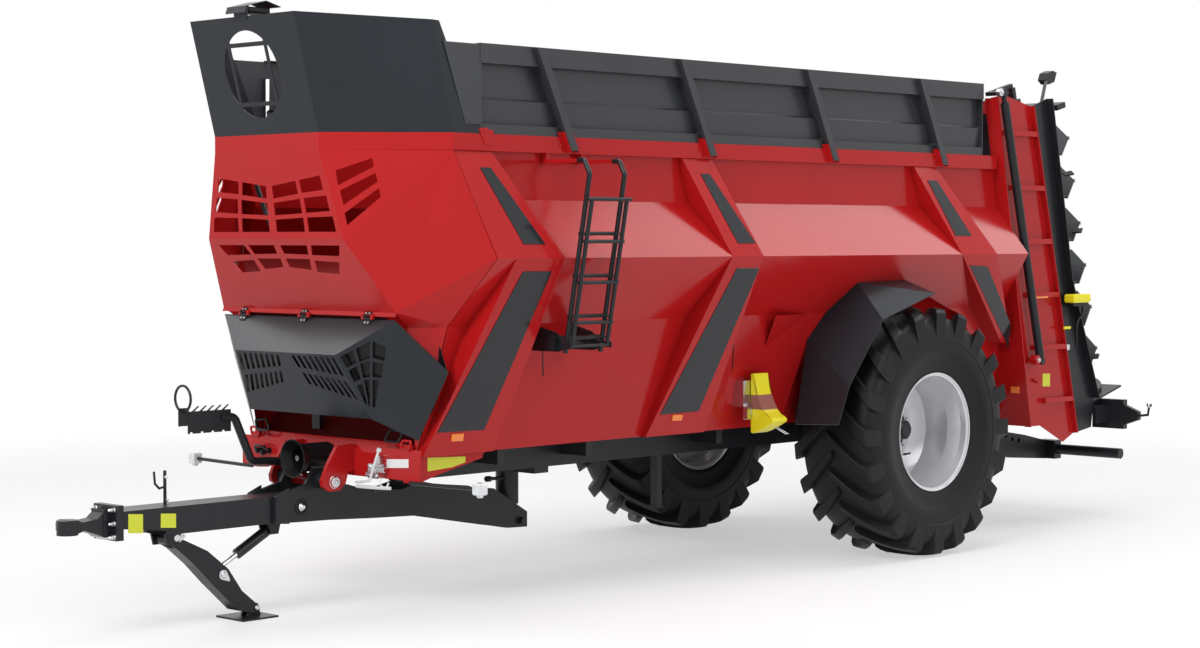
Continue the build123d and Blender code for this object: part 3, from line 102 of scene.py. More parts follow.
def lamp(name, place, aim, size, watts):
    """A square area lamp at a place, turned towards the point aim."""
    data = bpy.data.lights.new(name, "AREA")
    data.shape = "SQUARE"
    data.size = size
    data.energy = watts
    obj = bpy.data.objects.new(name, data)
    obj.location = place
    obj.rotation_euler = (Vector(aim) - Vector(place)).to_track_quat("-Z", "Y").to_euler()
    scene.collection.objects.link(obj)


lamp("key_lamp", at(13.0, 3.5, 9.0), at(1.5, 0, 1.2), 5.0, 950)
lamp("top_lamp", at(0.0, 0.5, 12.0), at(0.5, 0, 1.5), 9.0, 850)
lamp("back_lamp", at(-9.5, 4.5, 10.0), at(0.5, 1.0, 2.4), 6.0, 360)
lamp("right_lamp", at(6.5, -8.5, 10.5), at(4.5, 0, 1.8), 5.0, 330)
lamp("flank_lamp", at(0.0, 12.0, 6.5), at(-0.5, 0.8, 1.6), 5.0, 330)

world = bpy.data.worlds.new("studio")
scene.world = world
world.use_nodes = True


def seen_straight(nodes, links):
    """1 where a ray comes from the camera, or was mirrored or let through by the machine."""
    path = nodes.new("ShaderNodeLightPath")
    seen = path.outputs["Is Camera Ray"]
    for ray in ("Is Glossy Ray", "Is Transmission Ray"):
        either = nodes.new("ShaderNodeMath")
        either.operation = "MAXIMUM"
        links.new(seen, either.inputs[0])
        links.new(path.outputs[ray], either.inputs[1])
        seen = either.outputs[0]
    return seen


def light_hall(tree, fill):
    """The world lights the machine with a soft fill, and is white where it is seen."""
    nodes, links = tree.nodes, tree.links
    nodes.clear()
    air, white = nodes.new("ShaderNodeBackground"), nodes.new("ShaderNodeBackground")
    choice, out = nodes.new("ShaderNodeMixShader"), nodes.new("ShaderNodeOutputWorld")
    for background, strength in ((air, fill), (white, 1.0)):
        background.inputs["Color"].default_value = (1, 1, 1, 1)
        background.inputs["Strength"].default_value = strength
    links.new(seen_straight(nodes, links), choice.inputs[0])
    links.new(air.outputs[0], choice.inputs[1])
    links.new(white.outputs[0], choice.inputs[2])
    links.new(choice.outputs[0], out.inputs["Surface"])


light_hall(world.node_tree, WORLD_FILL)

# %% [markdown]
# ## Surfaces from arrays
# Every new part is a surface over a grid of two parameters. `skin` puts grids into a mesh: it
# lists the four corners of each cell, joins seams and poles, and turns all faces outwards.
# `part` gives the mesh its material and the body that it moves with.

# %% Grids into meshes
MERGE = 1e-5
CREASE = 32


def cells(points, wrap_rows, wrap_columns):
    """The corner numbers of every cell of a grid; a wrapped side joins its last line to its first."""
    index = np.arange(points.shape[0] * points.shape[1]).reshape(points.shape[:2])
    if wrap_rows:
        index = np.vstack([index, index[:1]])
    if wrap_columns:
        index = np.hstack([index, index[:, :1]])
    corners = [index[:-1, :-1], index[1:, :-1], index[1:, 1:], index[:-1, 1:]]
    return np.stack(corners, axis=-1).reshape(-1, 4)


def skin(name, grids, crease=CREASE, closed=True):
    """One mesh from grids of (points, wrap rows, wrap columns), shaded smooth below the crease angle."""
    counts = np.cumsum([0] + [g[0].shape[0] * g[0].shape[1] for g in grids])
    places = np.vstack([g[0].reshape(-1, 3) for g in grids])
    faces = np.vstack([cells(*g) + start for g, start in zip(grids, counts)])
    mesh = bpy.data.meshes.new(name)
    mesh.from_pydata(places.tolist(), [], faces.tolist())
    work = bmesh.new()
    work.from_mesh(mesh)
    bmesh.ops.remove_doubles(work, verts=work.verts, dist=MERGE)
    if closed:
        bmesh.ops.recalc_face_normals(work, faces=work.faces)
    work.to_mesh(mesh)
    work.free()
    mesh.polygons.foreach_set("use_smooth", np.ones(len(mesh.polygons), bool))
    mesh.set_sharp_from_angle(angle=math.radians(crease))
    return mesh


def part(name, grids, material, body="spreader_frame", crease=CREASE):
    """A finished part: a mesh with its material and the body it moves with."""
    mesh = skin(name, grids, crease)
    mesh.materials.append(material)
    obj = bpy.data.objects.new(name, mesh)
    scene.collection.objects.link(obj)
    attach(obj, body)
    return obj


# %% [markdown]
# ## Turned, swept and flat parts
# Three recipes cover nearly all small parts. A turned part spins a profile about an axis, a
# bar carries a circle along a path, and a plate lifts an outline off a face and eases its
# edge, so that it catches the light.

# %% Turned parts


def around(count):
    """Angles of count even steps round a circle."""
    return np.linspace(0, 2 * np.pi, count, endpoint=False)


def unit(vector):
    """The vector at length one, or each row of an array of them."""
    vector = np.asarray(vector, float)
    return vector / np.linalg.norm(vector, axis=-1, keepdims=True)


def turned(start, axis, profile, sides=24):
    """Rows (distance d, radius r) spun about an axis: start + d·axis + r·(cos a·side + sin a·rise)."""
    axis = unit(axis)
    side = unit(np.cross(axis, (0.0, 0.0, 1.0) if abs(axis[2]) < 0.9 else (1.0, 0.0, 0.0)))
    rise = np.cross(axis, side)
    angle = around(sides)[:, None]
    ring = np.cos(angle) * side + np.sin(angle) * rise
    along, radius = np.asarray(profile, float).T
    points = np.asarray(start, float) + along[:, None, None] * axis + radius[:, None, None] * ring
    return points, False, True


def drum(start, axis, radius, height, cut=(0.004, 0.004), sides=24, foot=0.0):
    """A round boss; cut is how far its chamfer comes down and in, and foot is where it starts."""
    down, inward = cut
    rows = [(foot, 0), (foot, radius), (height - down, radius), (height, radius - inward), (height, 0)]
    return turned(start, axis, rows, sides)


def bolt(place, aim, size, long=0.62):
    """A bolt head on its washer: a round washer and a six-sided head, both turned about aim."""
    washer = [(-0.1, 0), (-0.1, 1.0), (0.16, 1.0), (0.2, 0.94), (0.2, 0)]
    head = [(0.18, 0), (0.18, 0.84), (long - 0.08, 0.84), (long, 0.66), (long, 0)]
    return [turned(place, aim, np.array(rows) * size, sides) for rows, sides in ((washer, 16), (head, 6))]


def bolts(places, aim, size, long=0.62):
    """A set of bolts that share one aim and size."""
    return [grid for place in places for grid in bolt(place, aim, size, long)]


print("turned parts ready")

# %% Bars and plates


def bar(path, radius, up=(0, 0, 1), sides=12, closed=False):
    """A circle carried square to a path: point + r·(cos a·side + sin a·rise); open ends are shut."""
    path = np.asarray(path, float)
    if closed:
        along = unit(np.roll(path, -1, 0) - np.roll(path, 1, 0))
    else:
        along = unit(np.gradient(path, axis=0))
    side = unit(np.cross(along, up))
    rise = np.cross(side, along)
    angle = around(sides)[:, None]
    ring = np.cos(angle) * side[:, None] + np.sin(angle) * rise[:, None]
    points = path[:, None] + radius * ring
    if not closed:
        first, last = (np.broadcast_to(place, (1, sides, 3)) for place in (path[0], path[-1]))
        points = np.concatenate([first, points, last])
    return points, closed, True


def rounded(corners, radius, steps=6):
    """A path through corners, each cut by the curve (1-t)²·before + 2t(1-t)·corner + t²·after."""
    corners = np.asarray(corners, float)
    t = np.linspace(0, 1, steps)[None, :, None]
    middle = corners[1:-1]
    to_last, to_next = corners[:-2] - middle, corners[2:] - middle
    reach_in, reach_out = (np.minimum(radius, 0.45 * np.linalg.norm(way, axis=1))[:, None]
                           for way in (to_last, to_next))
    before, after = middle + reach_in * unit(to_last), middle + reach_out * unit(to_next)
    bends = (1 - t) ** 2 * before[:, None] + 2 * t * (1 - t) * middle[:, None] + t ** 2 * after[:, None]
    return np.vstack([corners[:1], bends.reshape(-1, 3), corners[-1:]])


def plate(outline, push, ease=0.002):
    """A flat plate: the outline lifted by push, with eased rims and closed on its middle points."""
    outline, push = np.asarray(outline, float), np.asarray(push, float)
    thick = np.linalg.norm(push)
    ease = min(ease, 0.4 * thick)
    middle = outline.mean(0)
    reach = np.linalg.norm(outline - middle, axis=1, keepdims=True)
    inner = middle + (outline - middle) * (1 - ease / reach)
    deep = push * ease / thick
    still = np.broadcast_to(middle, outline.shape)
    rows = [still, inner, outline + deep, outline + push - deep, inner + push, still + push]
    return np.stack(rows), False, True


def box(low, high, ease=0.003):
    """A block between two corners: its plan lifted by its height, with eased edges."""
    (x0, y0, z0), (x1, y1, z1) = np.minimum(low, high), np.maximum(low, high)
    plan = [(x0, y0, z0), (x1, y0, z0), (x1, y1, z0), (x0, y1, z0)]
    return plate(plan, (0, 0, z1 - z0), ease)


print("plates ready")

# %% [markdown]
# ## Landing on a sheet
# Labels, stripes and bolts lie on sheets that lean. Each starting point is sent along a
# direction and stopped at the first triangle of the CAD node. All triangles are tried at
# once: two cross products give each crossing, and the nearest one is kept.

# %% Landing
BESIDE = 2.0
PARALLEL = 1e-12
EDGE_SLACK = 1e-4
SUNK = 0.002
LANDED_SHARE = 0.6


def triangles(node):
    """The corners of a CAD node's triangles, as an array of (triangle, corner, xyz)."""
    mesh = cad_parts[node].data
    place = np.empty(len(mesh.vertices) * 3)
    mesh.vertices.foreach_get("co", place)
    mesh.calc_loop_triangles()
    index = np.empty(len(mesh.loop_triangles) * 3, int)
    mesh.loop_triangles.foreach_get("vertices", index)
    return place.reshape(-1, 3)[index.reshape(-1, 3)]


def land(points, aim, *nodes):
    """Points moved along aim to the first triangle of the nodes, and the normals there, facing back."""
    points, aim = np.asarray(points, float).reshape(-1, 3), unit(aim)
    corners = np.concatenate([triangles(node) for node in nodes])
    edge1, edge2 = corners[:, 1] - corners[:, 0], corners[:, 2] - corners[:, 0]
    normal = np.cross(edge1, edge2)
    slant = normal @ aim
    slant = np.where(np.abs(slant) < PARALLEL, PARALLEL, slant)
    offset = points[:, None] - corners[None, :, 0]
    reach = -(offset * normal).sum(-1) / slant
    cross = np.cross(offset, aim)
    u = -(cross * edge2).sum(-1) / slant
    v = (cross * edge1).sum(-1) / slant
    inside = (u > -EDGE_SLACK) & (v > -EDGE_SLACK) & (u + v < 1 + EDGE_SLACK) & (reach > 0)
    reach = np.where(inside, reach, np.inf)
    first = reach.argmin(1)
    far = reach[np.arange(len(points)), first]
    if not np.isfinite(far).all():
        raise ValueError(f"a point misses {nodes}: {points[~np.isfinite(far)].tolist()}")
    out = unit(normal[first])
    out = out * np.where(out @ aim > 0, -1, 1)[:, None]
    return points + far[:, None] * aim, out


def label(outline, aim, nodes, thick=0.003):
    """A thin plate on a flat sheet: four inner points land, and the corners slide onto their plane."""
    outline, aim = np.asarray(outline, float), unit(aim)
    middle = outline.mean(0)
    inner, _ = land(middle + LANDED_SHARE * (outline - middle), aim, *nodes)
    out = unit(np.cross(inner[2] - inner[0], inner[3] - inner[1]))
    out = out * (-1 if out @ aim > 0 else 1)
    reach = ((inner.mean(0) - outline) @ out) / (aim @ out)
    spots = outline + reach[:, None] * aim
    return plate(spots - out * SUNK, out * (thick + SUNK), 0.001)


def flank(places, side=1):
    """Starting points beside the machine, for (x, z) places; side is 1 for left and -1 for right."""
    return [at(x, side * BESIDE, z) for x, z in places]


print("landing ready")

# %% [markdown]
# ## Finishes
# Every finish reads Object coordinates, so a pattern stays on its sheet. One builder gives
# them all a slow change of colour and gloss, an orange-peel bump and road dust that fades
# upwards; what differs is the scale and strength of each.

# %% Nodes that finishes share
DUST_COLOUR = (0.2, 0.17, 0.14)
DUST_LOW, DUST_TOP = 0.1, 1.5
DUST_SPECKS = 11
COAT_ROUGHNESS = 0.08
GRAIN_DEPTH = 0.002
GLOSSIER, DULLER = 0.85, 1.2


def noise(nodes, links, place, scale, detail):
    """A noise pattern on the place coordinates; gives its value from 0 to 1."""
    node = nodes.new("ShaderNodeTexNoise")
    node.inputs["Scale"].default_value = scale
    node.inputs["Detail"].default_value = detail
    links.new(place, node.inputs["Vector"])
    return node.outputs["Fac"]


def ranged(nodes, links, value, low, high, start=0.0, end=1.0):
    """A value from start to end carried over to a value from low to high."""
    node = nodes.new("ShaderNodeMapRange")
    for socket, number in (("From Min", start), ("From Max", end), ("To Min", low), ("To Max", high)):
        node.inputs[socket].default_value = number
    links.new(value, node.inputs["Value"])
    return node.outputs["Result"]


def clouded(nodes, links, value, colour, cloud):
    """A colour that runs from a little darker to a little lighter as the value rises."""
    tint = nodes.new("ShaderNodeValToRGB")
    low, high = tint.color_ramp.elements
    low.position, high.position = 0.3, 0.7
    low.color = (*[c * (1 - cloud) for c in colour], 1)
    high.color = (*[min(1, c * (1 + cloud)) for c in colour], 1)
    links.new(value, tint.inputs["Fac"])
    return tint.outputs["Color"]


def dusted(nodes, links, place, base, dust):
    """The base colour mixed with specks of dust: full below DUST_LOW, none above DUST_TOP."""
    height = nodes.new("ShaderNodeSeparateXYZ")
    links.new(place, height.inputs[0])
    fade = ranged(nodes, links, height.outputs["Z"], 0.0, dust, DUST_TOP, DUST_LOW)
    times, mix = nodes.new("ShaderNodeMath"), nodes.new("ShaderNodeMix")
    times.operation = "MULTIPLY"
    links.new(fade, times.inputs[0])
    links.new(noise(nodes, links, place, DUST_SPECKS, 7), times.inputs[1])
    mix.data_type = "RGBA"
    mix.inputs["B"].default_value = (*DUST_COLOUR, 1)
    links.new(times.outputs[0], mix.inputs["Factor"])
    links.new(base, mix.inputs["A"])
    return mix.outputs["Result"]


print("nodes ready")

# %% Finish builder


def finish(name, colour, rough, metal=0.0, coat=0.0, cloud=0.06, cloud_scale=1.2, grain=0.02,
           grain_scale=180.0, dust=0.06, shine=0.5):
    """A paint or metal: a slow cloud of colour and gloss, dust by height and a fine bump."""
    mat = bpy.data.materials.new(name)
    mat.use_nodes = True
    nodes, links = mat.node_tree.nodes, mat.node_tree.links
    shader = nodes["Principled BSDF"]
    shader.inputs["Metallic"].default_value = metal
    shader.inputs["Coat Weight"].default_value = coat
    shader.inputs["Coat Roughness"].default_value = COAT_ROUGHNESS
    shader.inputs["Specular IOR Level"].default_value = shine
    place = nodes.new("ShaderNodeTexCoord").outputs["Object"]
    slow = noise(nodes, links, place, cloud_scale, 5)
    base = clouded(nodes, links, slow, colour, cloud)
    if dust:
        base = dusted(nodes, links, place, base, dust)
    links.new(base, shader.inputs["Base Color"])
    gloss = ranged(nodes, links, slow, rough * GLOSSIER, rough * DULLER)
    links.new(gloss, shader.inputs["Roughness"])
    bump = nodes.new("ShaderNodeBump")
    bump.inputs["Strength"].default_value = grain
    bump.inputs["Distance"].default_value = GRAIN_DEPTH
    links.new(noise(nodes, links, place, grain_scale, 3), bump.inputs["Height"])
    links.new(bump.outputs["Normal"], shader.inputs["Normal"])
    return mat


# %% [markdown]
# The body is a deep gloss red, with a darker copy of it as painted shade on red sheets that lie in
# shadow. The cover and stripes are a charcoal gloss, the boards a paler copy of it as painted
# light from above, and the chassis plain black. Rods, bolts and pin caps are bright zinc, and the
# rims a silver enamel, smoother and much paler than steel.

# %% Paints and films
red_paint = finish("red_gloss_paint", (0.43, 0.01, 0.011), 0.17, coat=0.05, cloud=0.04,
                   grain=0.03, grain_scale=45, dust=0.02, shine=0.2)
# A darker copy of the red: painted shade for red sheets that lie in shadow.
red_painted_shade = finish("shaded_red_paint", (0.13, 0.006, 0.006), 0.4, cloud=0.12, grain=0.05,
                  shine=0.2)
charcoal = finish("charcoal_sheet_paint", (0.019, 0.022, 0.027), 0.28, coat=0.02, cloud=0.08,
                  grain=0.04, grain_scale=50, dust=0.008, shine=0.2)
# A paler, glossier copy of the charcoal for the boards: painted light from above.
charcoal_painted_lit = finish("board_charcoal_painted_lit", (0.034, 0.036, 0.041), 0.3, coat=0.06, cloud=0.08,
                     grain=0.04, grain_scale=50, dust=0.012, shine=0.36)
stripe_film = finish("stripe_film", (0.016, 0.018, 0.022), 0.13, coat=0.04, cloud=0.04,
                     grain=0.02, dust=0.008, shine=0.3)
black_paint = finish("black_chassis_paint", (0.014, 0.015, 0.018), 0.32, coat=0.02, cloud=0.1,
                     grain=0.05, dust=0.012, shine=0.26)
silver = finish("silver_rim_enamel", (0.66, 0.66, 0.69), 0.16, metal=0.35, coat=0.3,
                cloud=0.02, grain=0.02, dust=0.01)
yellow_film = finish("yellow_film", (0.62, 0.66, 0.03), 0.4, cloud=0.03, grain=0.02, dust=0.02)
white_film = finish("white_film", (0.8, 0.8, 0.8), 0.4, cloud=0.02, grain=0.02, dust=0.02)

# %% Rubber, metal and plastic
rubber = finish("tyre_rubber", (0.0095, 0.0095, 0.0105), 0.46, cloud=0.16, cloud_scale=3.5,
                grain=0.2, grain_scale=150, dust=0.03, shine=0.16)
zinc = finish("bright_zinc", (0.62, 0.62, 0.64), 0.24, metal=1.0, cloud=0.08, cloud_scale=9,
              grain=0.05, dust=0)
worn_steel = finish("worn_steel", (0.26, 0.25, 0.24), 0.42, metal=0.85, cloud=0.25, cloud_scale=5,
                    grain=0.14, grain_scale=90, dust=0)
yellow_plastic = finish("yellow_plastic", (0.86, 0.76, 0.012), 0.36, cloud=0.04, grain=0.08,
                        dust=0.03)
black_plastic = finish("black_moulded_plastic", (0.008, 0.008, 0.009), 0.34, cloud=0.1,
                       grain=0.12, grain_scale=240, dust=0.01, shine=0.22)
strap_web = finish("chock_strap_web", (0.3, 0.1, 0.08), 0.7, cloud=0.3, cloud_scale=160,
                   grain=0.5, grain_scale=500, dust=0.05)
amber_lens = finish("amber_lens", (0.9, 0.22, 0.008), 0.22, coat=0.5, cloud=0.05, cloud_scale=60,
                    grain=0.35, grain_scale=260, dust=0)
red_lens = finish("red_lens", (0.55, 0.008, 0.008), 0.15, coat=0.6, cloud=0.05, cloud_scale=60,
                  grain=0.35, grain_scale=260, dust=0)
clear_lens = finish("clear_lens", (0.74, 0.76, 0.78), 0.12, coat=0.6, cloud=0.06,
                    cloud_scale=40, grain=0.3, grain_scale=240, dust=0)

# %% [markdown]
# ## A finish for every CAD node
# A node takes a finish by the start of its name. What no entry names, such as the cover and
# the mudguards, is charcoal.

# %% Coats
COATS = (
    (rubber, ("tyre",)),
    (silver, ("rim",)),
    (red_paint, ("hopper_side", "front_shroud", "top_rail", "rear_frame", "headstock", "rear_crossbeam")),
    # The hopper's front wall takes the darker red as painted shade.
    (red_painted_shade, ("hopper_front_wall",)),
    # The boards take the paler charcoal as painted light.
    (charcoal_painted_lit, ("side_extension",)),
    (yellow_plastic, ("wheel_chock",)),
    (black_plastic, ("pto_guard",)),
    (zinc, ("jack_rod", "pto_shaft", "chock_holder")),
    (worn_steel, ("apron", "hopper_floor")),
    (black_paint, ("axle", "chassis", "drawbar", "coupling", "jack", "gate", "underrun", "spring", "hose",
                   "ladder", "lower_ladder", "front_marker", "work_lamp", "light_panel", "beater_bridge",
                   "beater_housing", "hub")),
)


def coat_of(node):
    """The finish that belongs on a CAD node."""
    return next((coat for coat, names in COATS if node.startswith(names)), charcoal)


for node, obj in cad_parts.items():
    for holder in obj.material_slots:
        holder.material = coat_of(node)
print("coated", len(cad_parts))

# %% [markdown]
# ## Floor
# One large pale sheet. Near the machine it is lit as any floor and keeps the shadow; further
# out the camera sees it turn into the white of the hall, so that no horizon shows.

# %% Floor
HALL = 90.0
FADE_FROM, FADE_TO = 5.5, 13.0
NEAR_WHITE = 0.5
u, v = np.meshgrid(np.linspace(-HALL, HALL, 13), np.linspace(-HALL, HALL, 13), indexing="ij")
floor_mesh = skin("studio_floor", [(np.dstack([v, u, np.zeros_like(u)]), False, False)], closed=False)
floor_paint = finish("floor_paint", (0.88, 0.88, 0.88), 0.6, cloud=0.005, grain=0.0, dust=0)
floor_mesh.materials.append(floor_paint)
floor = bpy.data.objects.new("studio_floor", floor_mesh)
scene.collection.objects.link(floor)


def fade_to_white(mat):
    """Mix the lit floor with white by its distance from the middle, where it is seen straight."""
    nodes, links = mat.node_tree.nodes, mat.node_tree.links
    white, mix = nodes.new("ShaderNodeEmission"), nodes.new("ShaderNodeMixShader")
    reach, times = nodes.new("ShaderNodeVectorMath"), nodes.new("ShaderNodeMath")
    reach.operation, times.operation = "LENGTH", "MULTIPLY"
    links.new(nodes.new("ShaderNodeTexCoord").outputs["Object"], reach.inputs[0])
    far = ranged(nodes, links, reach.outputs["Value"], NEAR_WHITE, 1.0, FADE_FROM, FADE_TO)
    far.node.interpolation_type = "SMOOTHSTEP"
    links.new(far, times.inputs[0])
    links.new(seen_straight(nodes, links), times.inputs[1])
    links.new(times.outputs[0], mix.inputs[0])
    links.new(nodes["Principled BSDF"].outputs[0], mix.inputs[1])
    links.new(white.outputs[0], mix.inputs[2])
    links.new(mix.outputs[0], nodes["Material Output"].inputs["Surface"])


fade_to_white(floor_paint)
print("floor", [round(s, 1) for s in floor.dimensions])

# %% [markdown]
# ## Tyres
# Tall bars run from the middle of the tread to the shoulder and end in square blocks on the
# sidewall. The carcass is spun from a closed profile, and each bar is a six-sided section
# carried along it. The bars are closed shells sunk into the carcass, which needs no fine grid
# and keeps their edges crisp.

# %% Carcass and tread bars
BARS = 20
BAR_SWEEP = 0.34
BAR_EASE = 0.006
BAR_ROOT_IN = 0.012
TREAD_RADIUS = 0.9
TYRE_STEPS = 120
CARCASS = np.array([
    (0, 0.862), (0.09, 0.86), (0.17, 0.855), (0.235, 0.845), (0.28, 0.826), (0.306, 0.795),
    (0.319, 0.755), (0.3255, 0.71), (0.3285, 0.676), (0.3245, 0.672), (0.3265, 0.64), (0.3235, 0.6),
    (0.3185, 0.568), (0.3155, 0.564), (0.306, 0.53), (0.296, 0.505), (0.29, 0.48), (0.285, 0.452),
    (0.274, 0.436), (0.262, 0.4205), (0.24, 0.4185), (0.244, 0.452), (0.264, 0.54), (0.282, 0.64),
    (0.27, 0.74), (0.21, 0.8), (0, 0.822)])
NOSE_TO_SHOULDER = np.array([
    # across, root radius, top radius, half width at root, half width at top, sweep
    (-0.02, 0.85, 0.892, 0.034, 0.022, 1), (0.01, 0.85, 0.907, 0.042, 0.03, 0.9),
    (0.07, 0.849, 0.9092, 0.046, 0.034, 0.72), (0.14, 0.846, 0.9088, 0.05, 0.038, 0.51),
    (0.21, 0.838, 0.906, 0.055, 0.043, 0.31), (0.27, 0.818, 0.899, 0.061, 0.049, 0.15),
    (0.312, 0.78, 0.89, 0.066, 0.055, 0.05), (0.3285, 0.73, 0.866, 0.07, 0.06, 0.02),
    (0.3292, 0.7, 0.79, 0.07, 0.064, 0.01), (0.327, 0.68, 0.7, 0.068, 0.064, 0)])


def on_wheel(radius, across, angle):
    """Points at a radius and an angle about the axle, and a distance across the machine."""
    return np.stack([AXLE_X + radius * np.cos(angle), across, AXLE_Z + radius * np.sin(angle)], -1)


def carcass(middle_y):
    """The tyre body: the profile mirrored about the wheel's middle and spun about the axle."""
    mirrored = CARCASS[::-1] * (-1, 1)
    across, radius = np.vstack([CARCASS, mirrored[1:-1]]).T
    angle = around(TYRE_STEPS)[:, None]
    return on_wheel(radius, middle_y + across + 0 * angle, angle), True, True


def tread_bar(middle_y, side, start):
    """One bar: six corners round each station; angle = start + sweep·fade ± half width / radius."""
    across, root, top, wide_root, wide_top, fade = NOSE_TO_SHOULDER.T
    radii = np.stack([root, top - BAR_EASE, top, top, top - BAR_EASE, root], 1)
    edge = wide_top + 0.001
    crown = wide_top - BAR_EASE
    half = np.stack([-wide_root, -edge, -crown, crown, edge, wide_root], 1)
    low = across - BAR_ROOT_IN
    sideways = np.stack([low, across, across, across, across, low], 1)
    angle = start + BAR_SWEEP * fade[:, None] + half / TREAD_RADIUS
    points = on_wheel(radii, middle_y + side * sideways, angle)
    ends = np.broadcast_to(points[[0, -1]].mean(1, keepdims=True), (2, 6, 3))
    return np.concatenate([ends[:1], points, ends[1:]]), False, True


pitch = 2 * np.pi / BARS
for wheel in ("left", "right"):
    middle_y = float(np.array(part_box(f"tyre_{wheel}"))[:, 1].mean())
    grids = [carcass(middle_y)]
    for number in range(BARS):
        grids.append(tread_bar(middle_y, 1, number * pitch))
        grids.append(tread_bar(middle_y, -1, (number + 0.5) * pitch))
    tread = part(f"lugged_tyre_{wheel}", grids, rubber, f"wheel_{wheel}", crease=28)
    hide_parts(f"tyre_{wheel}")
    print(tread.name, "faces", len(tread.data.polygons))

# %% [markdown]
# ## Wheel nuts and valve
# Ten nuts on studs hold the rim to the hub flange, and the valve stands through its dish.
# They turn with the wheel.

# %% Wheel nuts
NUTS = 10
FIRST_NUT = 0.2
NUT_RING = 0.172
VALVE = [(-0.01, 0), (-0.01, 0.009), (0.02, 0.008), (0.05, 0.006), (0.052, 0.0075), (0.07, 0.007), (0.071, 0)]
HUB_CAP = [(-0.03, 0), (-0.03, 0.069), (-0.022, 0.071), (-0.014, 0.069), (-0.006, 0.058), (0, 0.05),
           (0.0005, 0)]
for side, wheel in SIDES:
    body, rim, outward = f"wheel_{wheel}", f"rim_{wheel}", (0, side, 0)
    starts = on_wheel(NUT_RING, np.full(NUTS, side * BESIDE), around(NUTS) + FIRST_NUT)
    seats, _ = land(starts, (0, -side, 0), rim)
    studs = [drum(seat, outward, 0.008, 0.035, (0.003, 0.002), 12) for seat in seats]
    part(f"wheel_nuts_{wheel}", bolts(seats, outward, 0.016, long=1.1) + studs, zinc, body)
    stem, _ = land([(AXLE_X - 0.16, side * BESIDE, AXLE_Z - 0.2)], (0, -side, 0), rim)
    part(f"tyre_valve_{wheel}", [turned(stem[0], (0.25, side, 0.2), VALVE, 14)], black_plastic, body)
    reach = float(np.abs(np.array(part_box(f"hub_{wheel}"))[:, 1]).max())
    cap = turned([AXLE_X, side * reach, AXLE_Z], outward, HUB_CAP, 40)
    part(f"hub_cap_{wheel}", [cap], black_paint, body)
print("nuts", NUTS)

# %% [markdown]
# ## Dark stripes on the ribs
# Each rib of the flank carries two long film stripes, above and below the ridge. A stripe is
# four corners seen from the side; landing sends them onto the leaning face of the rib.

# %% Stripes
STRIPES = {
    "rib1_upper": [(4.205, 2.749), (4.117, 2.749), (3.793, 2.283), (3.977, 2.283)],
    "rib1_lower": [(3.983, 2.118), (3.737, 2.116), (3.99, 1.132), (4.379, 1.138)],
    "rib2_upper": [(2.193, 2.749), (2.1, 2.749), (1.794, 2.284), (1.975, 2.284)],
    "rib2_lower": [(1.986, 2.119), (1.752, 2.117), (1.99, 1.141), (2.375, 1.138)],
    "rib3_upper": [(-0.362, 2.749), (-0.479, 2.749), (-0.747, 2.335), (-0.541, 2.335)],
    "rib3_lower": [(-0.703, 2.116), (-0.945, 2.103), (-1.497, 1.64), (-1.556, 1.462)],
}


def side_label(corners, side, nodes, thick=0.003):
    """A label landed sideways on the flank; its corners are (x, z) places."""
    return label(flank(corners, side), (0, -side, 0), nodes, thick)


for side, hand in SIDES:
    for name, corners in STRIPES.items():
        grid = side_label(corners, side, [f"hopper_side_{hand}", "front_shroud"], 0.004)
        part(f"stripe_{name}_{hand}", [grid], stripe_film)
print("stripes", 2 * len(STRIPES))

# %% [markdown]
# ## Blank plates and reflectors
# Amber reflectors sit low on the ribs. The yellow and white plates are bare: the part is
# unbranded.

# %% Plates and reflectors
AMBER = {
    "front": [(4.258, 1.124), (4.16, 1.121), (4.154, 1.075), (4.252, 1.078)],
    "middle": [(2.251, 1.131), (2.15, 1.127), (2.146, 1.088), (2.245, 1.091)],
}
REAR_AMBER = [(0.962, 1.146), (1.04, 1.146), (1.036, 1.094), (0.962, 1.094)]
CHEEK = [(4.455, 0.985), (3.89, 0.995), (3.905, 0.945), (4.415, 0.838)]
CHEEK_Y, CHEEK_THICK = 0.77, 0.008
HEAD_BLANK = [(4.368, 0.978), (4.052, 0.964), (4.052, 0.928), (4.16, 0.905), (4.368, 0.893)]
REAR_BLANK = [(-1.945, 1.238), (-2.05, 1.234), (-2.05, 1.131), (-1.945, 1.136)]
HOUSING_BLANK = [(-2.255, 1.46), (-2.335, 1.458), (-2.335, 1.413), (-2.255, 1.416)]
for side, hand in SIDES:
    for name, corners in AMBER.items():
        reflector = side_label(corners, side, [f"hopper_side_{hand}"], 0.01)
        part(f"reflector_{name}_{hand}", [reflector], amber_lens)
    rear_spot = [at(0.0, side * y, z) for y, z in REAR_AMBER]
    part(f"reflector_rear_{hand}", [label(rear_spot, (-1, 0, 0), [f"rear_frame_{hand}"], 0.008)], amber_lens)
    cheek = [at(x, side * CHEEK_Y, z) for x, z in CHEEK]
    part(f"headstock_cheek_{hand}", [plate(cheek, (0, side * CHEEK_THICK, 0))], red_paint)
    blank = [at(x, side * (CHEEK_Y + CHEEK_THICK - 0.001), z) for x, z in HEAD_BLANK]
    part(f"plate_head_{hand}", [plate(blank, (0, side * 0.003, 0))], yellow_film)
    part(f"plate_rear_{hand}", [side_label(REAR_BLANK, side, [f"rear_frame_{hand}"])], yellow_film)
    part(f"plate_housing_{hand}", [side_label(HOUSING_BLANK, side, [f"beater_housing_{hand}"])], white_film)
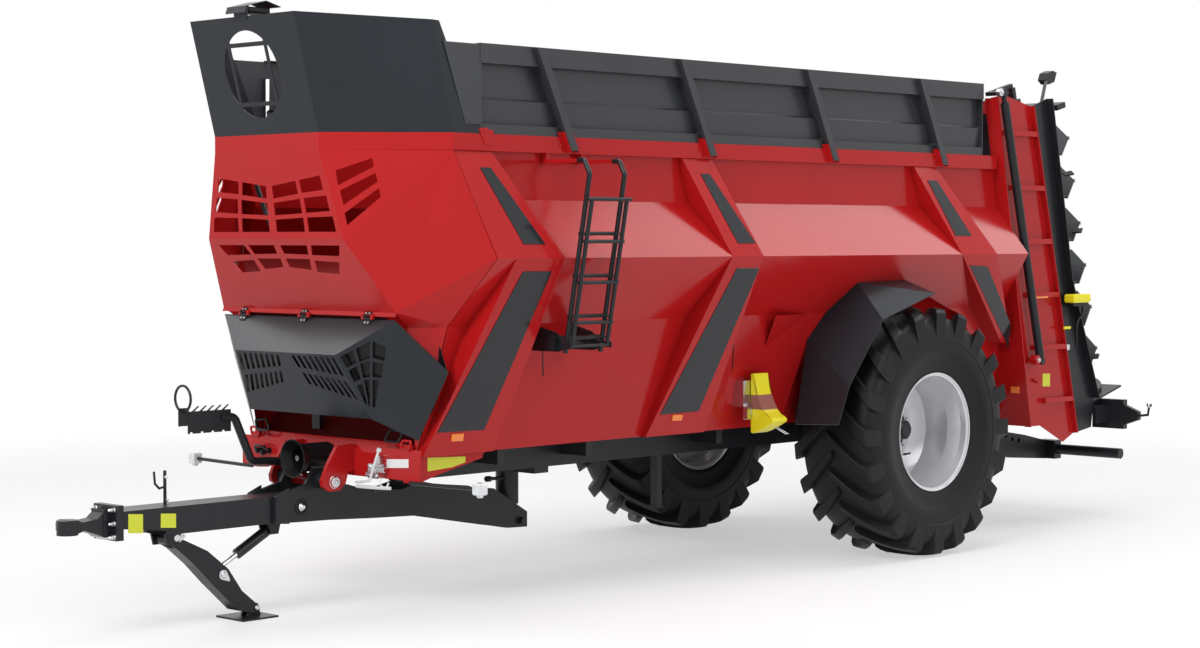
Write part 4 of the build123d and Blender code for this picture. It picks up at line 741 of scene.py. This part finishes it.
DRAWBAR_BLANKS = ([(6.09, 0.723), (5.989, 0.714), (5.99, 0.603), (6.091, 0.612)],
                  [(5.863, 0.707), (5.756, 0.698), (5.757, 0.614), (5.864, 0.623)])
for number, corners in enumerate(DRAWBAR_BLANKS, 1):
    part(f"plate_drawbar_{number}", [side_label(corners, 1, ["drawbar"])], yellow_film)
IN_FRONT = 8.0
front = [at(IN_FRONT, y, z) for y, z in ((0.571, 0.965), (0.773, 0.978), (0.773, 0.925), (0.571, 0.911))]
part("plate_number", [label(front, (-1, 0, 0), ["headstock"])], white_film)
print("plates placed")

# %% [markdown]
# ## Headstock fittings
# In front of the headstock stand the parking valve with its lever, two hydraulic couplings
# and the rubber latches of the cover. Latches and eyes are closed loops: a bar carried round
# a rounded square.

# %% Latches and eyes
LATCH_X, EYE_X = 4.533, 4.512
LATCH_LOOP = [(0.0, 0.57, 1.078), (0.0, 0.696, 1.076), (-0.012, 0.727, 1.14), (-0.012, 0.608, 1.15)]
EYE_LOOP = [(0.708, 1.088), (0.79, 1.088), (0.776, 1.038), (0.7, 1.04)]


def loop(corners, radius, rounding=0.022, sides=10):
    """A closed bar round four corners with rounded bends, facing forward."""
    corners = np.asarray(corners, float)
    middle = 0.5 * (corners[0] + corners[-1])
    ring = rounded(np.vstack([middle, corners, middle]), rounding)[:-1]
    return bar(ring, radius, (1, 0, 0), sides, closed=True)


latches = [loop([at(LATCH_X + dx, side * y, z) for dx, y, z in LATCH_LOOP], 0.0085) for side, hand in SIDES]
eyes = [loop([at(EYE_X, side * y, z) for y, z in EYE_LOOP], 0.008, 0.012) for side, hand in SIDES]
part("cover_latches", latches, black_plastic)
part("latch_eyes", eyes, red_paint)
print("latches", len(latches))

# %% Parking valve and lever
VALVE_X, VALVE_FACE = 4.545, 4.575
valve = [box(at(4.514, 0.462, 0.845), at(VALVE_FACE, 0.556, 0.935)),
         box(at(4.52, 0.505, 0.93), at(4.55, 0.541, 0.985)),
         drum(at(VALVE_X, 0.455, 0.868), (0, -1, 0), 0.02, 0.034, sides=18, foot=-0.01),
         drum(at(VALVE_X, 0.56, 0.9), (0, 1, 0), 0.018, 0.028, (0.003, 0.004), 18, -0.01)]
valve += bolts([at(VALVE_FACE, y, z) for z in (0.862, 0.918) for y in (0.478, 0.54)], (1, 0, 0), 0.01)
part("parking_valve", valve, zinc)
KNOB = [(0, 0), (0.002, 0.012), (0.012, 0.016), (0.024, 0.014), (0.03, 0)]
ROD_X = 4.57
ahead = (1, 0, 0)
grip = rounded([at(4.59, 0.5, 0.835), at(4.6, 0.545, 0.925), at(4.606, 0.597, 1.02)], 0.02)
crank = rounded([at(4.59, 0.5, 0.835), at(4.585, 0.43, 0.82), at(4.58, 0.352, 0.812)], 0.02)
rod = [at(ROD_X, 0.35, 0.786), at(ROD_X, 0.5, 0.789), at(ROD_X, 0.664, 0.796)]
hook = [at(ROD_X, 0.56, 0.85), at(4.575, 0.585, 0.8), at(4.575, 0.64, 0.8), at(ROD_X, 0.65, 0.83)]
lever = [bar(grip, 0.0075, ahead), turned(at(4.606, 0.597, 1.016), (0.1, 0.5, 0.9), KNOB, 18),
         bar(crank, 0.008, ahead), bar(rod, 0.011, ahead), bar(rounded(hook, 0.02), 0.006, ahead)]
part("parking_lever", lever, clear_lens)
print("valve", len(valve), "pieces")

# %% Hydraulic couplings and pin caps
COUPLING = [(-0.005, 0), (-0.005, 0.02), (0.012, 0.02), (0.014, 0.014), (0.04, 0.014), (0.042, 0.019),
            (0.062, 0.019), (0.066, 0.015), (0.07, 0)]
PIN_CAP = [(0, 0), (0, 0.042), (0.008, 0.042), (0.01, 0.036), (0.02, 0.034), (0.024, 0.028), (0.024, 0)]
couplings = [turned(at(4.516, y, z), (1, -0.25, -0.2), COUPLING, 18)
             for y, z in ((-0.64, 0.955), (-0.585, 0.945))]
hose = [at(4.53, -0.72, 0.945), at(4.56, -0.69, 0.975), at(4.57, -0.61, 0.978), at(4.55, -0.56, 0.945)]
part("hydraulic_couplings", [*couplings, bar(rounded(hose, 0.03), 0.008, ahead)], black_plastic)
pins = []
for side, hand in SIDES:
    pins.append(turned(at(4.684, side * 0.268, 0.816), (0, side, 0), PIN_CAP, 28))
    pins += bolt(at(4.684, side * 0.29, 0.816), (0, side, 0), 0.014)
part("headstock_pin_caps", pins, zinc)
print("couplings", len(couplings))

# %% [markdown]
# ## Drawbar, hook and jack
# Bright pins and nuts stand out against the black beam: eight flange nuts round the ball
# cup, drop-shaped lock plates over the jack's pins and two bolts on the hose hook.

# %% Flange nuts and pin plates
FLANGE_X = 6.175
FLANGE_NUTS = [(-0.092, 0.752), (-0.092, 0.672), (-0.092, 0.594), (0.092, 0.752), (0.092, 0.672),
               (0.092, 0.594), (-0.03, 0.59), (0.03, 0.59)]
nuts = []
for y, z in FLANGE_NUTS:
    nuts += bolt(at(FLANGE_X, y, z), ahead, 0.0155, long=1.5)
    nuts.append(drum(at(FLANGE_X, y, z), ahead, 0.009, 0.04, (0.004, 0.003), 12))
part("flange_nuts", nuts, zinc)


def lock_plate(centre, tail, radius, side):
    """A drop-shaped plate: the circle's radius grows towards the tail by ((1 + cos a)/2)⁴."""
    centre, tail = np.asarray(centre, float), np.asarray(tail, float)
    length = np.linalg.norm(tail)
    along = tail / length
    across = np.cross(along, (0, side, 0))
    angle = around(28)[:, None]
    nearness = (1 + np.cos(angle)) / 2
    stretch = radius + (length - radius) * nearness ** 4
    rim = centre + stretch * np.cos(angle) * along
    rim = rim + radius * np.sin(angle) * across * (1 - 0.4 * nearness ** 2)
    return plate(rim, (0, side * 0.006, 0), 0.002)


LEG_SIDE = 0.056
pivot_caps, leg_caps, foot_caps = [], [], []
for side, hand in SIDES:
    outward = (0, side, 0)
    pivot_caps += [lock_plate(at(5.715, side * (LEG_SIDE + 0.005), 0.547), (-0.062, 0, 0.004), 0.04, side),
                   drum(at(5.722, side * LEG_SIDE, 0.547), outward, 0.024, 0.022, (0.004, 0.005))]
    pivot_caps += bolt(at(5.668, side * (LEG_SIDE + 0.01), 0.549), outward, 0.01)
    leg_caps += [lock_plate(at(5.372, side * (LEG_SIDE + 0.001), 0.287), (-0.044, 0, -0.04), 0.034, side),
                 drum(at(5.376, side * LEG_SIDE, 0.29), outward, 0.019, 0.016)]
    leg_caps += bolt(at(5.34, side * (LEG_SIDE + 0.006), 0.258), outward, 0.009)
    foot_caps.append(drum(at(5.126, side * LEG_SIDE, 0.062), outward, 0.016, 0.014, sides=20))
part("jack_pivot_plates", pivot_caps, zinc, "jack_leg")
part("jack_leg_pin_plates", leg_caps, zinc, "jack_leg")
part("jack_foot_pin_caps", foot_caps, zinc, "jack_leg")
hook_bolts = bolts([at(5.712, -0.05, 0.899), at(5.705, -0.05, 0.76)], (0, 1, 0), 0.01, long=0.9)
part("hose_hook_bolts", hook_bolts, zinc)
print("pin plates", len(pivot_caps) + len(leg_caps))

# %% Drawbar side details
RECESS = [(-0.004, 0), (-0.004, 0.052), (0.004, 0.052), (0.006, 0.048), (0.006, 0.036), (0.001, 0.034),
          (0.001, 0)]
CONE = [(0, 0), (0, 0.026), (0.008, 0.026), (0.024, 0.012), (0.026, 0)]
spots, _ = land(flank([(5.28, 0.7), (5.28, 0.62), (5.03, 0.715), (5.03, 0.6)]), (0, -1, 0), "drawbar")
ring_spot, _ = land(flank([(4.834, 0.662)]), (0, -1, 0), "drawbar")
part("beam_side_bolts", bolts(spots, (0, 1, 0), 0.007), black_paint)
part("beam_ring", [turned(ring_spot[0], (0, 1, 0), RECESS, 32)], black_plastic)
part("beam_cone_bolt", [turned(ring_spot[0], (0, 1, 0), CONE, 24)], zinc)
print("beam", len(spots))

# %% [markdown]
# ## Cover hinges
# Three hinges carry the cover. Each has a leaf bolted to the shroud's lower flange and one
# bolted to the cover, with the CAD model's knuckle between them. The lower leaves ride on
# the cover.

# %% Hinge leaves
HINGE_PLACES = (-0.615, -0.005, 0.605)
LEAF_HALF, LEAF_THICK = 0.028, 0.005
upper, lower, upper_bolts, lower_bolts = [], [], [], []
for y in HINGE_PLACES:
    for name, low_z, high_z, leaves, heads in (("front_shroud", 1.846, 1.876, upper, upper_bolts),
                                               ("front_cover", 1.792, 1.822, lower, lower_bolts)):
        corners = ((-LEAF_HALF, high_z), (LEAF_HALF, high_z), (LEAF_HALF, low_z), (-LEAF_HALF, low_z))
        outline = [at(IN_FRONT, y + dy, z) for dy, z in corners]
        leaves.append(label(outline, (-1, 0, 0), [name], LEAF_THICK))
        starts = [at(IN_FRONT, y + dy, 0.5 * (low_z + high_z)) for dy in (-0.015, 0.015)]
        seats, normals = land(starts, (-1, 0, 0), name)
        heads += bolts(seats + normals * (LEAF_THICK + 0.001), normals[0], 0.0085)
part("hinge_leaves_upper", upper, black_paint)
part("hinge_leaves_lower", lower, black_paint, "front_cover")
part("hinge_bolts_upper", upper_bolts, zinc)
part("hinge_bolts_lower", lower_bolts, zinc, "front_cover")
print("hinges", len(HINGE_PLACES))

# %% Strut and prop behind the shroud
strut = bar([at(4.66, -0.56, 2.73), at(4.66, -0.44, 2.5), at(4.66, -0.29, 2.25)], 0.016, ahead)
part("shroud_strut", [strut], black_paint)
part("cover_prop", [box(at(4.4, -0.27, 1.1), at(4.42, -0.195, 1.42))], charcoal)
print("strut placed")

# %% [markdown]
# ## Black sheets of painted shade behind the cover's openings
# Black sheets paint the shade of the dark inside behind the louvres and the fan-shaped openings,
# each a little behind its own facet of the cover: the facet's plane gives x for every y and z. A
# sheet in the darker red, painted shade, rises from the headstock, and liners fill the corners
# beside the cover.

# %% Black sheets of painted shade
SHADE_SHEET_BEHIND = 0.03
LOUVRES = [(-0.542, 1.598), (0.542, 1.598), (0.612, 1.315), (-0.612, 1.315)]
FAN = [(0.5, 1.6), (0.7, 1.735), (0.8, 1.69), (0.655, 1.25), (0.545, 1.28)]


def shade_sheet(corners, spot, normal):
    """A black sheet of painted shade behind a facet: x solves normal · (place - spot) = 0, then moves in
    along the normal.
    """
    (x0, y0, z0), normal = spot, unit(normal)
    y, z = np.array(corners).T
    x = x0 - (normal[1] * (y - y0) + normal[2] * (z - z0)) / normal[0]
    outline = np.stack([AXLE_X + x, y, z], 1) - SHADE_SHEET_BEHIND * normal
    return plate(outline, -0.003 * normal, 0.001)


# The black sheets paint the shade of the dark inside behind the openings.
shade_sheets = [shade_sheet(LOUVRES, (4.854, 0, 1.605), (0.89, 0, -0.45))]
for side, hand in SIDES:
    corners = [(side * y, z) for y, z in FAN]
    shade_sheets.append(shade_sheet(corners, (4.671, side * 0.792, 1.691), (0.79, side * 0.56, -0.24)))
part("cover_shade_sheets", shade_sheets, black_plastic, "front_cover")
print("shade_sheets", len(shade_sheets))

# %% Foot sheet and liners
LINER = [(0.745, 1.79), (0.86, 1.78), (0.985, 1.515), (0.8, 1.18), (0.745, 1.18)]
# The sheet on the headstock takes the darker red as painted shade.
foot_sheet = [at(x, y, z) for x, y, z in ((4.412, 0.78, 1.062), (4.3, 0.78, 1.262),
                                          (4.3, -0.78, 1.262), (4.412, -0.78, 1.062))]
part("headstock_foot_sheet", [plate(foot_sheet, (-0.003, 0, -0.0015))], red_painted_shade)
for side, hand in SIDES:
    liner = [at(4.385, side * y, z) for y, z in LINER]
    part(f"cover_liner_{hand}", [plate(liner, (0.004, 0, 0))], black_plastic)
print("liners placed")

# %% [markdown]
# ## Sheet details on the flank
# Thin slots are cut below the ladder and beside the second rib, and a service panel sits
# before the mudguard. Slots are narrow black plates, painted shade for the dark inside of
# each slot: nothing can be seen through them.

# %% Slots and service panel
SLOT_ENDS = ((3.516, 1.64, 3.47, 1.44), (1.65, 1.58, 1.62, 1.41))
SLOT_HALF = 0.005
PANEL = [(1.352, 1.78), (0.7, 1.78), (0.7, 1.462), (1.282, 1.462)]
for side, hand in SIDES:
    sheets = [f"hopper_side_{hand}"]
    slots = []
    for x0, z0, x1, z1 in SLOT_ENDS:
        corners = [(x0 + SLOT_HALF, z0), (x0 - SLOT_HALF, z0), (x1 - SLOT_HALF, z1), (x1 + SLOT_HALF, z1)]
        slots.append(side_label(corners, side, sheets, 0.0015))
    # Black plates paint the shade inside the slots.
    part(f"sheet_slots_{hand}", slots, black_plastic)
    part(f"service_panel_{hand}", [side_label(PANEL, side, sheets, 0.004)], red_paint)
print("panels placed")

# %% [markdown]
# ## Lamps and reflectors on arms
# White marker lamps stand out on arms at the front, and tail-lamp panels at the rear. Each
# lamp is a block with eased edges.

# %% Marker and tail lamps
LENS_LOW, LENS_HIGH = 0.795, 0.875
LENSES = (("clear", clear_lens, 0.955, 1.035), ("red", red_lens, 1.04, 1.12),
          ("amber", amber_lens, 1.125, 1.195))
BALL_RADIUS = 0.0225
BEHIND = -8.0
half_turn = np.linspace(0, np.pi, 13)
BALL = BALL_RADIUS * np.stack([1 - np.cos(half_turn), np.sin(half_turn)], 1)
for side, hand in SIDES:
    marker = [box(at(4.478, side * 1.368, 0.806), at(4.542, side * 1.432, 0.878), 0.008),
              box(at(4.497, side * 1.385, 0.79), at(4.523, side * 1.415, 0.812), 0.004)]
    part(f"marker_lamp_{hand}", marker, clear_lens)
    for colour, lens, y0, y1 in LENSES:
        corners = ((y0, LENS_HIGH), (y1, LENS_HIGH), (y1, LENS_LOW), (y0, LENS_LOW))
        outline = [at(BEHIND, side * y, z) for y, z in corners]
        part(f"tail_lens_{colour}_{hand}", [label(outline, (1, 0, 0), [f"light_panel_{hand}"], 0.022)], lens)
    channels = [box(at(-2.952, side * 0.93, z), at(-2.912, side * 1.21, z + 0.014)) for z in (0.888, 0.762)]
    part(f"light_panel_channels_{hand}", channels, black_paint)
    part(f"light_panel_ball_{hand}", [turned(at(-2.922, side * 1.4455, 0.9315), (0, 0, 1), BALL)], zinc)
print("lamps placed")

# %% Beacon and roof lamp
part("beacon_lens", [box(at(-2.425, 1.112, 1.8), at(-2.175, 1.196, 1.868), 0.012)], yellow_plastic)
part("beacon_base", [box(at(-2.405, 1.116, 1.772), at(-2.195, 1.184, 1.808), 0.006)], black_plastic)
lead = [at(-2.385, 1.15, 1.776), at(-2.38, 1.15, 1.7), at(-2.325, 1.14, 1.66),
        at(-2.31, 1.135, 1.56), at(-2.33, 1.128, 1.44)]
part("beacon_lead", [bar(rounded(lead, 0.05), 0.009, (0, 1, 0))], black_plastic)
part("grease_tag", [box(at(-2.247, 1.118, 1.588), at(-2.154, 1.128, 1.609))], yellow_plastic)
part("roof_lamp_body", [box(at(5.00, -0.06, 3.683), at(5.16, 0.06, 3.722), 0.006)], black_plastic)
part("roof_lamp_lens", [box(at(5.155, -0.052, 3.689), at(5.185, 0.052, 3.718), 0.004)], clear_lens)
print("beacon placed")

# %% [markdown]
# ## Rear frame fittings
# A bolt head stands above each ledge of the rear frames, and an amber strip sits on the
# fourth. The lift cylinders end in pin bosses; those at their heads ride on the tailgate.

# %% Rear frame fittings
FRAME_BOLTS = [(-1.789, 2.979), (-1.889, 2.577), (-2.002, 2.164), (-2.108, 1.756), (-2.211, 1.351),
               (-2.319, 0.941)]
FOOT_X, FOOT_Z = -1.735, 1.358
HOOK = [(-1.8, 1.058, 1.205), (-1.812, 1.085, 1.19), (-1.85, 1.085, 1.18), (-1.862, 1.06, 1.172)]
for side, hand in SIDES:
    outward = (0, side, 0)
    seats, _ = land(flank(FRAME_BOLTS, side), (0, -side, 0), f"rear_frame_{hand}")
    part(f"frame_bolts_{hand}", bolts(seats, outward, 0.011), red_paint)
    boss = drum(at(FOOT_X, side * 1.1, FOOT_Z), outward, 0.038, 0.064, (0.006, 0.008), 28)
    part(f"cylinder_foot_boss_{hand}", [boss], red_paint)
    part(f"cylinder_foot_bolt_{hand}", bolt(at(FOOT_X, side * 1.164, FOOT_Z), outward, 0.018), zinc)
    strip = box(at(-1.95, side * 1.1015, 1.842), at(-1.73, side * 1.1045, 1.856), 0.001)
    part(f"amber_strip_{hand}", [strip], amber_lens)
    frame_hook = rounded([at(x, side * y, z) for x, y, z in HOOK], 0.01)
    part(f"frame_hook_{hand}", [bar(frame_hook, 0.008)], red_paint)
print("frame bolts", 2 * len(FRAME_BOLTS))

# %% Lift cylinder heads
HEAD_X, HEAD_Z = -1.214, 3.438
for side, hand in SIDES:
    head = [drum(at(HEAD_X, side * 1.12, HEAD_Z), (0, side, 0), 0.03, 0.038)]
    head += bolt(at(HEAD_X, side * 1.158, HEAD_Z), (0, side, 0), 0.016)
    part(f"cylinder_head_bolt_{hand}", head, zinc, "tailgate")
print("heads at", HEAD_X, HEAD_Z)

# %% [markdown]
# ## Board posts and small sheet details
# Each post of the boards is bolted into its red socket on the top rail. A bracket holds the
# front end of the boards, and a corner sheet closes the gap to the front board.

# %% Post bolts, brackets and corner sheets
POSTS = (-0.53, 0.793, 2.117, 3.44)
BRACKET = [(4.187, 2.986), (4.073, 2.979), (4.06, 2.885), (4.12, 2.9)]
CORNER_SHEET = [(4.168, 3.01), (4.168, 3.497), (4.48, 3.497), (4.3, 3.01)]
for side, hand in SIDES:
    starts = flank([(x + dx, 2.9) for x in POSTS for dx in (0.055, -0.055)], side)
    seats, _ = land(starts, (0, -side, 0), "top_rail")
    part(f"post_bolts_{hand}", bolts(seats, (0, side, 0), 0.012), red_paint)
for side, hand in SIDES:
    bracket = plate([at(x, side * 1.052, z) for x, z in BRACKET], (0, side * 0.008, 0))
    seats = [at(x, side * 1.06, z) for x, z in ((4.15, 2.965), (4.09, 2.92))]
    part(f"board_bracket_{hand}", [bracket, *bolts(seats, (0, side, 0), 0.01)], red_paint)
# The corner sheets take the boards' paler charcoal, painted light from above.
for side, hand in SIDES:
    corner = [at(x, side * 1.053, z) for x, z in CORNER_SHEET]
    part(f"corner_sheet_{hand}", [plate(corner, (0, side * 0.004, 0))], charcoal_painted_lit)
print("posts", len(POSTS))

# %% [markdown]
# ## Wheel chock
# The chock hangs in a holder on the flank. Its side is a profile with a hollow curve that
# fits the tyre, pushed along the machine by the chock's width, and a webbing strap goes round
# it. It takes the place of the CAD model's plainer chock.

# %% Chock
WALL_Y = 0.921
CHOCK_FRONT, CHOCK_BACK = 1.486, 1.33
CHOCK_EASE = 0.003
CHOCK_SIDE = np.array([
    (0.004, 0.966), (0.004, 1.377), (0.026, 1.377), (0.034, 1.33), (0.044, 1.28), (0.06, 1.23),
    (0.082, 1.18), (0.112, 1.13), (0.15, 1.094), (0.192, 1.074), (0.203, 1.062), (0.2, 1.046),
    (0.14, 1.012), (0.07, 0.978), (0.02, 0.962)])


def chock_body(front_x, back_x, profile):
    """The profile (out from the wall, height) pushed along x, with its end faces closed by a fan."""
    middle = profile.mean(0)
    centre = np.broadcast_to(middle, profile.shape)
    eased = middle + (profile - middle) * 0.985
    stations = [(front_x, centre), (front_x, eased), (front_x - CHOCK_EASE, profile),
                (back_x + CHOCK_EASE, profile), (back_x, eased), (back_x, centre)]
    rows = [np.stack([np.full(len(rim), AXLE_X + x), WALL_Y + rim[:, 0], rim[:, 1]], -1)
            for x, rim in stations]
    return np.stack(rows), False, True


chock = part("wheel_chock_moulded", [chock_body(CHOCK_FRONT, CHOCK_BACK, CHOCK_SIDE)], yellow_plastic)
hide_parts("wheel_chock")
print("chock", len(chock.data.polygons), "faces")

# %% Chock strap, wires and bracket
height = CHOCK_SIDE[:, 1]
band = np.vstack([CHOCK_SIDE[(height > 1.12) & (height < 1.24)], [(0.004, 1.13), (0.004, 1.23)]])
strap = chock_body(CHOCK_FRONT + CHOCK_EASE, CHOCK_BACK - CHOCK_EASE, band + (0.002, 0.0))
part("chock_strap", [strap], strap_web)
WIRE = [(0.0, 0.13, 1.01), (-0.02, 0.16, 0.985), (-0.06, 0.19, 0.955)]
wires = [rounded([at(x + dx, WALL_Y + out, z) for dx, out, z in WIRE], 0.02) for x in (1.385, 1.36)]
part("chock_wires", [bar(wire, 0.0025, ahead) for wire in wires], zinc)
bracket = [box(at(1.5, WALL_Y - 0.02, 1.06), at(1.54, WALL_Y + 0.018, 1.17)),
           box(at(1.5, WALL_Y + 0.012, 1.09), at(CHOCK_FRONT, WALL_Y + 0.02, 1.14))]
part("chock_bracket", bracket, zinc)
print("strap corners", len(band))
